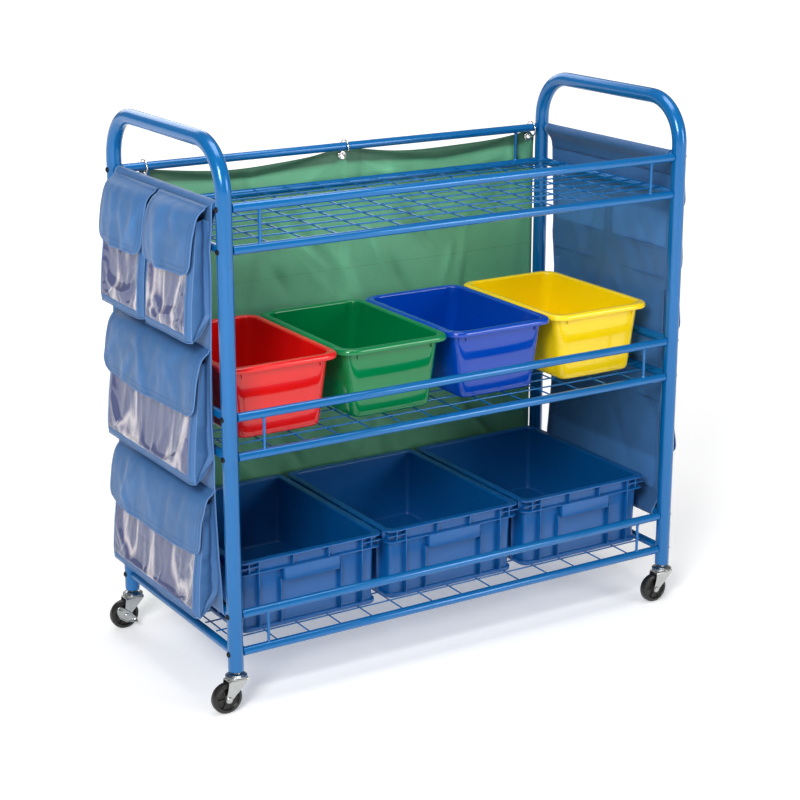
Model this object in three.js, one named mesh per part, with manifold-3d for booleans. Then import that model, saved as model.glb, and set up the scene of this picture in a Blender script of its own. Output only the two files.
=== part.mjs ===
// A rolling book cart: two bent-tube end frames joined by three wire shelves, on four swivel
// casters. Coloured trays and stacking totes stand on the shelves, a fabric panel closes the
// back, and a fabric organizer with flapped pockets hangs on each end. Millimetres, +Z up,
// +X along the cart, origin on the floor under its middle, front towards -Y.

import * as THREE from 'three';
import { mergeVertices } from 'three/addons/utils/BufferGeometryUtils.js';
import Module from 'manifold-3d';

const wasm = await Module();
wasm.setup();

// ---- Driving dimensions --------------------------------------------------------------------

const GAP = 0.3; // left between pieces that touch
const LENGTH = 960; // post centre to post centre, along X
const DEPTH = 440; // post centre to post centre, along Y
const HALF_LENGTH = LENGTH / 2;
const HALF_DEPTH = DEPTH / 2;

const POST = { radius: 14, bore: 12.4, foot: 76, handle: 1006, bend: 85 };
const RAIL = { radius: 8, bore: 6.6, rise: 71 }; // rise: from a lower rail's axis to the upper one's
const STRUT = { radius: 2.75, inset: 66 }; // inset: from the post's axis
const SHELF_HEIGHTS = { bottom: 109, middle: 469, top: 829 }; // lower rail axes
const WIRE = { size: 3, top: 9.5, crossPitch: 65.75, crossCount: 15, longPitch: 44, longCount: 9 };
const DECK_TOP = WIRE.top + GAP; // what stands on a deck starts here, above the lower rail's axis

const WHEEL = { radius: 28.5, halfWidth: 8.5, hubRadius: 9, hubHalf: 9.7, bore: 3.6, sides: 16 };
const FORK = { trail: 20, crown: 60, plate: 2.5, race: 66.2, radius: 20, inner: 10.2, outer: 12.2 };
const AXLE = { radius: 3, headRadius: 5, headWidth: 1.4 };
const STEM = { plate: 66.5, plateRadius: 19, neck: 71.5, neckRadius: 6.5, plug: 11, top: 112 };
const LEVER = { thickness: 1.5, tab: 11, tilt: THREE.MathUtils.degToRad(-36) };

const TRAY = { width: 230, depth: 336, height: 134, pitch: 231.5, middleX: -4, middleY: -16.5 };
const TOTE = { width: 300, depth: 396, height: 138, pitch: 307, middleX: 3, middleY: 12 };

const PANEL = { left: -429, right: 468, top: 892, bottom: 130, front: 228.6, thickness: 2.2 };
const RING = { radius: 15.5, wire: 1.5, x: [-420, 8, 455], y: 224, z: 896, holeZ: 881.9 };

const ORGANIZER = { width: 390, face: 11, sheet: 2.4, sleeveBore: 8.6, hem: 180 };
const POCKET = { sheet: 1.6, wide: 362, narrow: 180, narrowY: 95.5, seamRise: 42, mouth: 24 };
const FLAP = { sheet: 1.6, wide: 378, narrow: 187, length: 114 };
const ROWS = [
  { name: 'top', hinge: 900, floor: 672 },
  { name: 'middle', hinge: 655, floor: 420 },
  { name: 'bottom', hinge: 403, floor: 172 },
];

// ---- Materials -----------------------------------------------------------------------------

function finish(color, roughness, metalness) {
  return () => new THREE.MeshStandardMaterial({ color, roughness, metalness });
}

const bluePaint = finish(0x1f6fc0, 0.35, 0.1);
const zinc = finish(0xc4c8c8, 0.35, 0.9);
const blackPlastic = finish(0x24211f, 0.5, 0);
const toteBlue = finish(0x0d509a, 0.4, 0);
const curtainGreen = finish(0x5fa582, 0.85, 0);
const organizerBlue = finish(0x5a84bc, 0.85, 0);
const clearVinyl = finish(0xc4c4d2, 0.15, 0);
const TRAY_FINISHES = {
  red: finish(0xd8201c, 0.25, 0),
  green: finish(0x00824c, 0.25, 0),
  blue: finish(0x053fb4, 0.25, 0),
  yellow: finish(0xf5d714, 0.25, 0),
};

// ---- Joining and cutting -------------------------------------------------------------------

function toSolid(geometry) {
  const bare = new THREE.BufferGeometry();
  bare.setAttribute('position', geometry.attributes.position);
  bare.setIndex(geometry.index);
  const merged = mergeVertices(bare, 1e-4);
  const kept = [];
  for (let i = 0; i < merged.index.count; i += 3) {
    const corner = [0, 1, 2].map((k) => merged.index.getX(i + k));
    if (new Set(corner).size === 3) kept.push(...corner); // a lathe's poles leave flat triangles
  }
  return new wasm.Manifold(new wasm.Mesh({
    numProp: 3,
    vertProperties: Float32Array.from(merged.attributes.position.array),
    triVerts: Uint32Array.from(kept),
  }));
}

function toGeometry(solid) {
  const { vertProperties, triVerts } = solid.getMesh();
  const geometry = new THREE.BufferGeometry();
  geometry.setAttribute('position', new THREE.BufferAttribute(vertProperties, 3));
  geometry.setIndex(new THREE.BufferAttribute(triVerts, 1));
  return geometry;
}

function join(geometries) {
  return geometries.map(toSolid).reduce((whole, piece) => whole.add(piece));
}

// The first list joined, with everything in the second list cut away.
function build(solids, cuts = []) {
  const whole = join(solids);
  return toGeometry(cuts.length ? whole.subtract(join(cuts)) : whole);
}

function mesh(name, geometry, material) {
  const made = new THREE.Mesh(geometry, material());
  made.name = name;
  geometry.computeVertexNormals();
  return made;
}

// ---- Basic shapes --------------------------------------------------------------------------

function box(low, high) {
  const size = high.map((value, i) => value - low[i]);
  const middle = high.map((value, i) => (value + low[i]) / 2);
  return new THREE.BoxGeometry(...size).translate(...middle);
}

// A round bar along X, Y or Z, from the point `from`.
function bar(axis, from, length, radius, sides) {
  const geometry = new THREE.CylinderGeometry(radius, radius, length, sides);
  geometry.rotateY(Math.PI / sides).translate(0, length / 2, 0);
  if (axis === 'x') geometry.rotateZ(-Math.PI / 2);
  if (axis === 'z') geometry.rotateX(Math.PI / 2);
  return geometry.translate(...from);
}

// A flat outline in X and Z, given as points, made `width` thick about the plane Y = 0.
function sideProfile(points, width) {
  const shape = new THREE.Shape(points.map(([x, z]) => new THREE.Vector2(x, z)));
  const geometry = new THREE.ExtrudeGeometry(shape, { depth: width, bevelEnabled: false });
  return geometry.rotateX(Math.PI / 2).translate(0, width / 2, 0);
}

function roundedRectangle(width, depth, radius) {
  const [x, y] = [width / 2 - radius, depth / 2 - radius];
  const quarter = Math.PI / 2;
  const shape = new THREE.Shape();
  [[x, -y, -1], [x, y, 0], [-x, y, 1], [-x, -y, 2]].forEach(([cx, cy, turn]) => {
    shape.absarc(cx, cy, radius, turn * quarter, (turn + 1) * quarter);
  });
  return shape;
}

// A block with rounded corners that tapers from its top size to its bottom size.
function taperedBlock(bottom, top, low, high, radius) {
  const shape = roundedRectangle(top[0], top[1], radius);
  const options = { depth: high - low, bevelEnabled: false, curveSegments: 1 };
  const geometry = new THREE.ExtrudeGeometry(shape, options);
  const place = geometry.attributes.position;
  for (let i = 0; i < place.count; i += 1) {
    if (place.getZ(i) < (high - low) / 2) {
      place.setX(i, (place.getX(i) * bottom[0]) / top[0]);
      place.setY(i, (place.getY(i) * bottom[1]) / top[1]);
    }
  }
  return geometry.translate(0, 0, low);
}

function block(width, depth, low, high, radius) {
  return taperedBlock([width, depth], [width, depth], low, high, radius);
}

// A flat slab made of the filled cells between the lines x = xs[i] and y = ys[j].
function cells(xs, ys, [low, high], filled) {
  const corners = [];
  const quad = (a, b, c, d) => corners.push(...a, ...b, ...c, ...a, ...c, ...d);
  const isFilled = (i, j) => {
    return i >= 0 && j >= 0 && i < xs.length - 1 && j < ys.length - 1 && filled(i, j);
  };
  for (let i = 0; i < xs.length - 1; i += 1) {
    for (let j = 0; j < ys.length - 1; j += 1) {
      if (!isFilled(i, j)) continue;
      const ring = [[xs[i], ys[j]], [xs[i + 1], ys[j]], [xs[i + 1], ys[j + 1]], [xs[i], ys[j + 1]]];
      const [bottom, top] = [low, high].map((z) => ring.map(([x, y]) => [x, y, z]));
      quad(...top);
      quad(...bottom.toReversed());
      const neighbours = [[i, j - 1], [i + 1, j], [i, j + 1], [i - 1, j]];
      neighbours.forEach(([nextI, nextJ], k) => {
        const after = (k + 1) % 4;
        if (!isFilled(nextI, nextJ)) quad(bottom[k], bottom[after], top[after], top[k]);
      });
    }
  }
  const geometry = new THREE.BufferGeometry();
  geometry.setAttribute('position', new THREE.Float32BufferAttribute(corners, 3));
  return geometry;
}

// A path through stations that each have their own direction, so a sweep keeps its sections there.
class StationPath extends THREE.Curve {
  constructor(stations) {
    super();
    this.stations = stations;
  }

  station(u) {
    return this.stations[Math.round(u * (this.stations.length - 1))];
  }

  getPointAt(u) {
    return this.station(u).point.clone();
  }

  getTangentAt(u) {
    return this.station(u).direction.clone();
  }
}

// ---- End frames ----------------------------------------------------------------------------

// One tube bent into two posts and the handle between them, `extra` longer at both feet.
function postSweep(radius, curveSegments, extra) {
  const stations = [];
  const BEND_STEPS = 6;
  const station = (y, z, dy, dz) => {
    stations.push({ point: new THREE.Vector3(0, y, z), direction: new THREE.Vector3(0, dy, dz) });
  };
  const reach = HALF_DEPTH - POST.bend;
  const springing = POST.handle - POST.bend;
  station(-HALF_DEPTH, POST.foot - extra, 0, 1);
  for (let side = -1; side <= 1; side += 2) {
    for (let i = 0; i <= BEND_STEPS; i += 1) {
      const turn = (i / BEND_STEPS) * (Math.PI / 2);
      const angle = side < 0 ? turn : Math.PI / 2 - turn; // measured up from the post
      const y = side * (reach + POST.bend * Math.cos(angle));
      const z = springing + POST.bend * Math.sin(angle);
      station(y, z, Math.sin(angle), -side * Math.cos(angle));
    }
  }
  station(HALF_DEPTH, POST.foot - extra, 0, -1);
  const circle = new THREE.Shape().absarc(0, 0, radius, 0, 2 * Math.PI);
  return new THREE.ExtrudeGeometry(circle, {
    steps: stations.length - 1,
    extrudePath: new StationPath(stations),
    curveSegments,
  });
}

function railHeights() {
  return Object.values(SHELF_HEIGHTS).flatMap((height) => [height, height + RAIL.rise]);
}

function endFrame(name) {
  const sideTube = (z, radius, sides) => bar('y', [0, -HALF_DEPTH, z], DEPTH, radius, sides);
  const outside = railHeights().map((z) => sideTube(z, RAIL.radius, 8));
  const inside = railHeights().map((z) => sideTube(z, RAIL.bore, 6));
  const shape = build(
    [postSweep(POST.radius, 5, 0), ...outside],
    [postSweep(POST.bore, 4, 1), ...inside],
  );
  return mesh(name, shape, bluePaint);
}

// ---- Shelves -------------------------------------------------------------------------------

// Two rails joined by two thin struts, one shelf's guard along the front or the back.
function guard(name) {
  const end = HALF_LENGTH - POST.radius - GAP;
  const heights = [0, RAIL.rise];
  const rails = heights.map((z) => bar('x', [-end, 0, z], 2 * end, RAIL.radius, 8));
  const bores = heights.map((z) => bar('x', [-end - 1, 0, z], 2 * end + 2, RAIL.bore, 6));
  const struts = [-1, 1].map((side) => {
    const x = side * (HALF_LENGTH - STRUT.inset);
    return bar('z', [x, 0, RAIL.bore], RAIL.rise - 2 * RAIL.bore, STRUT.radius, 6);
  });
  return mesh(name, build([...rails, ...struts], bores), bluePaint);
}

// The wire grid of one shelf: cross wires along Y, from rail to rail, and long wires along X.
function deck(name) {
  const half = WIRE.size / 2;
  const reachY = HALF_DEPTH - RAIL.radius - GAP;
  const edges = (count, pitch) => {
    const wires = Array.from({ length: count }, (_, i) => (i - (count - 1) / 2) * pitch);
    return wires.flatMap((middle) => [middle - half, middle + half]);
  };
  const xs = edges(WIRE.crossCount, WIRE.crossPitch);
  const ys = [-reachY, ...edges(WIRE.longCount, WIRE.longPitch), reachY];
  // Even columns lie on a cross wire and odd rows on a long wire.
  const filled = (i, j) => i % 2 === 0 || j % 2 === 1;
  const grid = cells(xs, ys, [WIRE.top - WIRE.size, WIRE.top], filled);
  return mesh(name, build([grid]), bluePaint);
}

function shelf(level) {
  const group = new THREE.Group();
  const front = guard(`${level}_shelf_front_guard`);
  const rear = guard(`${level}_shelf_rear_guard`);
  front.position.y = -HALF_DEPTH;
  rear.position.y = HALF_DEPTH;
  group.add(deck(`${level}_shelf_deck`), front, rear);
  group.position.z = SHELF_HEIGHTS[level];
  return group;
}

// ---- Casters -------------------------------------------------------------------------------

// A body turned about Z from closed [radius, height] points.
function turned(points, sides) {
  const profile = points.map(([radius, z]) => new THREE.Vector2(radius, z));
  return new THREE.LatheGeometry(profile, sides).rotateX(Math.PI / 2);
}

function casterStem(name) {
  const top = STEM.plateRadius - 4;
  const shape = turned([
    [0, STEM.plate], [STEM.plateRadius, STEM.plate], [STEM.plateRadius, STEM.plate + 2],
    [top, STEM.neck], [STEM.neckRadius, STEM.neck], [STEM.neckRadius, POST.foot + GAP],
    [STEM.plug, POST.foot + GAP], [STEM.plug, STEM.top], [0, STEM.top],
  ], 12);
  return mesh(name, build([shape]), zinc);
}

function casterFork(name) {
  const crown = new THREE.Shape();
  crown.moveTo(-FORK.trail, -FORK.outer).lineTo(8, -FORK.outer);
  crown.quadraticCurveTo(FORK.radius, -FORK.outer, FORK.radius, 0);
  crown.quadraticCurveTo(FORK.radius, FORK.outer, 8, FORK.outer);
  crown.lineTo(-FORK.trail, FORK.outer);
  const plate = new THREE.ExtrudeGeometry(crown, {
    depth: FORK.plate, bevelEnabled: false, curveSegments: 3,
  }).translate(0, 0, FORK.crown);
  const race = bar('z', [0, 0, FORK.crown + 1], FORK.race - FORK.crown - 1, FORK.radius - 0.5, 16);
  const boss = 6.5;
  const outline = [
    [-FORK.trail, FORK.crown + 1], [-FORK.trail - boss, WHEEL.radius], [-24, WHEEL.radius - 5],
    [-FORK.trail, WHEEL.radius - boss], [-15.5, WHEEL.radius - 5], [6, 44], [17, FORK.crown + 1],
  ];
  const legs = [-1, 1].map((side) => {
    const leg = sideProfile(outline, FORK.outer - FORK.inner);
    return leg.translate(0, (side * (FORK.outer + FORK.inner)) / 2, 0);
  });
  const hole = bar('y', [-FORK.trail, -20, WHEEL.radius], 40, AXLE.radius + 2 * GAP, 10);
  return mesh(name, build([plate, race, ...legs], [hole]), zinc);
}

// A pin with a head at both ends; a braked caster's pin also passes through its lever.
function casterAxle(name, braked) {
  const leverRoom = braked ? LEVER.thickness + GAP : 0;
  const [low, high] = [-FORK.outer - GAP - leverRoom, FORK.outer + GAP];
  const parts = [
    bar('y', [0, low - 1, 0], high - low + 2, AXLE.radius, 10),
    bar('y', [0, low - AXLE.headWidth, 0], AXLE.headWidth, AXLE.headRadius, 10),
    bar('y', [0, high, 0], AXLE.headWidth, AXLE.headRadius, 10),
  ];
  return mesh(name, build(parts), zinc);
}

function casterWheel(name) {
  const corner = WHEEL.radius / Math.cos(Math.PI / WHEEL.sides); // flats at the true radius
  const shape = turned([
    [WHEEL.bore, -WHEEL.hubHalf], [WHEEL.hubRadius, -WHEEL.hubHalf],
    [WHEEL.hubRadius, -WHEEL.halfWidth], [corner - 2, -WHEEL.halfWidth],
    [corner, -WHEEL.halfWidth + 2], [corner, WHEEL.halfWidth - 2],
    [corner - 2, WHEEL.halfWidth], [WHEEL.hubRadius, WHEEL.halfWidth],
    [WHEEL.hubRadius, WHEEL.hubHalf], [WHEEL.bore, WHEEL.hubHalf],
    [WHEEL.bore, -WHEEL.hubHalf],
  ], WHEEL.sides);
  shape.rotateZ(Math.PI / WHEEL.sides).rotateX(Math.PI / 2);
  return mesh(name, build([shape]), blackPlastic);
}

// A flat rocker on the axle, beside the fork, with a tab bent outwards at both ends.
function brakeLever(name) {
  const outline = [
    [-25, 3], [-22, 9], [-8, 9], [8, 8], [24, 3], [24, -2], [6, -10], [-10, -10], [-20, -5],
  ];
  const plate = sideProfile(outline, LEVER.thickness);
  const outwards = -LEVER.tab + LEVER.thickness / 2;
  const treadle = box([-25, outwards, 3], [-18, 0, 4.6]);
  const release = box([22.4, outwards, -2], [24, 0, 3]);
  const hole = bar('y', [0, -10, 0], 20, AXLE.radius + 2 * GAP, 10);
  const shape = build([plate, treadle, release], [hole]);
  return mesh(name, shape.rotateY(-LEVER.tilt), zinc);
}

function caster(corner, x, y, braked) {
  const group = new THREE.Group();
  const wheelSet = new THREE.Group();
  wheelSet.position.set(-FORK.trail, 0, WHEEL.radius);
  wheelSet.add(casterAxle(`caster_${corner}_axle`, braked), casterWheel(`caster_${corner}_wheel`));
  if (braked) {
    const lever = brakeLever(`caster_${corner}_brake_lever`);
    lever.position.y = -FORK.outer - GAP - LEVER.thickness / 2;
    wheelSet.add(lever);
  }
  group.add(casterStem(`caster_${corner}_stem`), casterFork(`caster_${corner}_fork`), wheelSet);
  group.position.set(x, y, 0);
  return group;
}

// ---- Trays and totes -----------------------------------------------------------------------

// A tapered tray with a flat rim whose edge turns down.
function tray(name, material) {
  const { width, depth, height } = TRAY;
  const wall = 2.2;
  const lip = { overhang: 13, drop: 10, sheet: 2.4 };
  const mouth = [width - 2 * lip.overhang, depth - 2 * lip.overhang];
  const floor = [164, 296];
  const inset = ([w, d]) => [w - 2 * wall, d - 2 * wall];
  const shape = build([
    taperedBlock(floor, mouth, 0, height, 24),
    block(width, depth, height - lip.drop, height, 30),
  ], [
    taperedBlock(inset(floor), inset(mouth), wall, height + 1, 22),
  ]);
  const gutter = build([
    block(width - 2 * lip.sheet, depth - 2 * lip.sheet, height - lip.drop - 1, height - lip.sheet, 28),
  ], [
    taperedBlock(floor, mouth, 0, height, 24),
  ]);
  return mesh(name, build([shape], [gutter]), material);
}

// A straight-sided stacking tote: a deep band round its rim and a pull lip at both ends.
function tote(name) {
  const { width, depth, height } = TOTE;
  const wall = 2.4;
  const band = { overhang: 12, drop: 23, sheet: 2.4 };
  const grip = { width: 100, drop: 24 };
  const mouth = [width - 2 * band.overhang, depth - 2 * band.overhang];
  const floor = [mouth[0] - 6, mouth[1] - 14];
  const inset = ([w, d]) => [w - 2 * wall, d - 2 * wall];
  const outside = taperedBlock(floor, mouth, 0, height, 16);
  const inside = taperedBlock(inset(floor), inset(mouth), wall, height + 1, 14);
  const lips = [-1, 1].flatMap((end) => {
    const outer = (end * depth) / 2;
    const inner = end * (depth / 2 - band.sheet);
    const wallSide = end * (mouth[1] / 2 - 4);
    const [low, high] = [height - band.drop - grip.drop, height - band.drop + 1];
    const [near, far] = [Math.min(outer, inner), Math.max(outer, inner)];
    const cheek = (side) => {
      const x = (side * grip.width) / 2;
      const reach = [Math.min(outer, wallSide), Math.max(outer, wallSide)];
      return box([x - band.sheet / 2, reach[0], low], [x + band.sheet / 2, reach[1], high]);
    };
    return [box([-grip.width / 2, near, low], [grip.width / 2, far, high]), cheek(-1), cheek(1)];
  });
  const gutter = build([
    block(width - 2 * band.sheet, depth - 2 * band.sheet, -1, height - band.sheet, 15),
  ], [
    outside,
  ]);
  const ring = build([block(width, depth, height - band.drop, height, 17)], [gutter]);
  const shape = build([outside, ring, ...lips], [inside]);
  return mesh(name, shape, toteBlue);
}

// ---- Back panel ----------------------------------------------------------------------------

function backPanel() {
  const { left, right, top, bottom, front, thickness } = PANEL;
  const cloth = box([left, front, bottom], [right, front + thickness, top]);
  const eyelets = RING.x.map((x) => bar('y', [x, front - 5, RING.holeZ], 15, 4.5, 10));
  return mesh('back_panel', build([cloth], eyelets), curtainGreen);
}

function hangingRing(name, x) {
  const torus = new THREE.TorusGeometry(RING.radius, RING.wire, 5, 14).rotateY(Math.PI / 2);
  const ring = mesh(name, build([torus]), zinc);
  ring.position.set(x, RING.y, RING.z);
  return ring;
}

// ---- End organizers ------------------------------------------------------------------------

// The cloth of an organizer: a sleeve round the top side tube, the flat, and a hem sleeve.
// Here X is the distance out from the side tubes' plane.
function organizerPanel(name) {
  const { width, face, sheet, sleeveBore, hem } = ORGANIZER;
  const top = SHELF_HEIGHTS.top + RAIL.rise;
  const sleeve = (z, radius, length) => bar('y', [0, -length / 2, z], length, radius, 14);
  const flat = box([face - sheet, -width / 2, hem], [face, width / 2, top]);
  const shape = build(
    [sleeve(top, face, width), sleeve(hem, face, width), flat],
    [sleeve(top, sleeveBore, width + 2), sleeve(hem, sleeveBore, width + 2)],
  );
  return mesh(name, shape, organizerBlue);
}

// An open-topped pocket whose bottom sags out and down from its seam on the panel.
function organizerPocket(name, row, width) {
  const { sheet, seamRise, mouth } = POCKET;
  const back = ORGANIZER.face + GAP;
  const top = row.hinge - mouth;
  const outline = (inset) => [
    [back - 2 * inset, top + 10 + 2 * inset], [back + 27 - inset, top + 2 * inset],
    [back + 41 - inset, row.floor + 70], [back + 45 - inset, row.floor + 20],
    [back + 42 - inset, row.floor + inset], [back + 36 - inset, row.floor + inset],
    [back - 2 * inset, row.floor + seamRise],
  ];
  const shape = build([sideProfile(outline(0), width)], [
    sideProfile(outline(sheet), width - 2 * sheet),
  ]);
  return mesh(name, shape, clearVinyl);
}

// A flap sewn to the panel above its pocket, which hangs over the pocket's mouth.
function organizerFlap(name, width) {
  const { sheet, length } = FLAP;
  const line = [[0, 0], [16, -2.5], [28, -9], [36, -22], [43, -50], [50, -length]];
  const back = ORGANIZER.face + GAP;
  const upper = line.map(([x, z]) => [back + x, z]);
  const lower = line.map(([x, z], i) => {
    const tilt = Math.min(1, i / 3); // the sheet's thickness runs down at the seam, inwards below
    return [back + x - sheet * tilt, z - sheet * (1 - tilt)];
  });
  return mesh(name, build([sideProfile([...upper, ...lower.reverse()], width)]), organizerBlue);
}

function organizer(side) {
  const group = new THREE.Group();
  group.add(organizerPanel(`organizer_${side}_panel`));
  ROWS.forEach((row) => {
    const split = row.name === 'top' ? ['_rear', '_front'] : [''];
    split.forEach((place, i) => {
      const y = place ? POCKET.narrowY * (i ? 1 : -1) : 0;
      const kind = place ? 'narrow' : 'wide';
      const pocket = organizerPocket(
        `organizer_${side}_pocket_${row.name}${place}`, row, POCKET[kind],
      );
      const flap = organizerFlap(`organizer_${side}_flap_${row.name}${place}`, FLAP[kind]);
      pocket.position.y = side === 'left' ? y : -y;
      flap.position.set(0, pocket.position.y, row.hinge);
      group.add(pocket, flap);
    });
  });
  return group;
}

// ---- The cart ------------------------------------------------------------------------------

const cart = new THREE.Group();

['left', 'right'].forEach((side) => {
  const end = new THREE.Group();
  end.add(endFrame(`end_frame_${side}`), organizer(side));
  end.position.x = side === 'left' ? -HALF_LENGTH : HALF_LENGTH;
  end.rotation.z = side === 'left' ? Math.PI : 0; // an end is drawn facing +X
  cart.add(end);
});

Object.keys(SHELF_HEIGHTS).forEach((level) => cart.add(shelf(level)));

cart.add(caster('front_left', -HALF_LENGTH, -HALF_DEPTH, false));
cart.add(caster('front_right', HALF_LENGTH, -HALF_DEPTH, false));
cart.add(caster('rear_left', -HALF_LENGTH, HALF_DEPTH, true));
cart.add(caster('rear_right', HALF_LENGTH, HALF_DEPTH, true));

Object.entries(TRAY_FINISHES).forEach(([colour, material], i) => {
  const made = tray(`tray_${colour}`, material);
  const x = TRAY.middleX + (i - 1.5) * TRAY.pitch;
  made.position.set(x, TRAY.middleY, SHELF_HEIGHTS.middle + DECK_TOP);
  cart.add(made);
});

['left', 'middle', 'right'].forEach((place, i) => {
  const made = tote(`tote_${place}`);
  const x = TOTE.middleX + (i - 1) * TOTE.pitch;
  made.position.set(x, TOTE.middleY, SHELF_HEIGHTS.bottom + DECK_TOP);
  cart.add(made);
  cart.add(hangingRing(`hanging_ring_${place}`, RING.x[i]));
});

cart.add(backPanel());

export default cart;
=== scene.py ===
"""The looks of a rolling book cart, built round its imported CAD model.

Metres, +Z up, +X along the cart, front towards -Y. Bodies, places and motion come from the frame;
this script makes the fine surfaces, the cloth, the materials, the light and the camera.
"""

import math

import bmesh
import bpy
import numpy as np
from mathutils import Matrix, Vector


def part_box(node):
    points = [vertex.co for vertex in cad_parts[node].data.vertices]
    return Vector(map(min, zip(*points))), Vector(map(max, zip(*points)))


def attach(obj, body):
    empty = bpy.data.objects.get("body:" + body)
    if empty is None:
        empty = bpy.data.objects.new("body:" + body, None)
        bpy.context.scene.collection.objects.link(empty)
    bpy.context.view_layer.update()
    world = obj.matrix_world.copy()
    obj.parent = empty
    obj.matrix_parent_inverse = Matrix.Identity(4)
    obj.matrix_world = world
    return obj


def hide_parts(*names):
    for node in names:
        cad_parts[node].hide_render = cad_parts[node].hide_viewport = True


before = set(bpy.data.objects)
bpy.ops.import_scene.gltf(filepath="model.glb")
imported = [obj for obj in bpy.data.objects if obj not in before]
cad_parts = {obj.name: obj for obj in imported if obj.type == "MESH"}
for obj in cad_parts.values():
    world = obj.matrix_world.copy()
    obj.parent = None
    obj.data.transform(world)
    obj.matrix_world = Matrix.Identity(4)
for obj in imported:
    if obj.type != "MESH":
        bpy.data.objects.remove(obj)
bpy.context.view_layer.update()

# ---- Driving dimensions ---------------------------------------------------------------------

SIDES = {"left": -1, "right": 1}
LEVELS = ("bottom", "middle", "top")
PLACES = ("left", "middle", "right")
CORNERS = ("front_left", "front_right", "rear_left", "rear_right")

POST_RADIUS = 0.014
POST_BEND = 0.085  # centreline radius of the bends into the handle
RAIL_RADIUS = 0.008
STRUT_RADIUS = 0.00275
STRUT_INSET = 0.066  # from the post's axis
WIRE_RADIUS = 0.0015
CROSS_WIRES = (15, 0.06575)  # count and pitch
LONG_WIRES = (9, 0.044)
GAP = 0.0003

end_low, end_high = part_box("end_frame_right")
POST_X = (end_low.x + end_high.x) / 2
POST_Y = (end_high.y - end_low.y) / 2 - POST_RADIUS
FOOT_Z = end_low.z
HANDLE_Z = end_high.z - POST_RADIUS


def middle_of(node):
    low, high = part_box(node)
    return (low + high) / 2


def rail_heights(level):
    """The axis heights of a shelf's lower and upper rails."""
    low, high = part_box(f"{level}_shelf_front_guard")
    half_rise = (high.z - low.z) / 2 - RAIL_RADIUS * math.cos(math.pi / 8)  # the CAD rail has 8 sides
    centre = (low.z + high.z) / 2
    return centre - half_rise, centre + half_rise


RAILS = {level: rail_heights(level) for level in LEVELS}
RAIL_HEIGHTS = [z for level in LEVELS for z in RAILS[level]]

# ---- Materials ------------------------------------------------------------------------------


def srgb(*values):
    """Linear colour from three 0-255 screen values."""
    shares = [value / 255 for value in values]
    return (*[c / 12.92 if c <= 0.04045 else ((c + 0.055) / 1.055) ** 2.4 for c in shares], 1.0)


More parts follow.
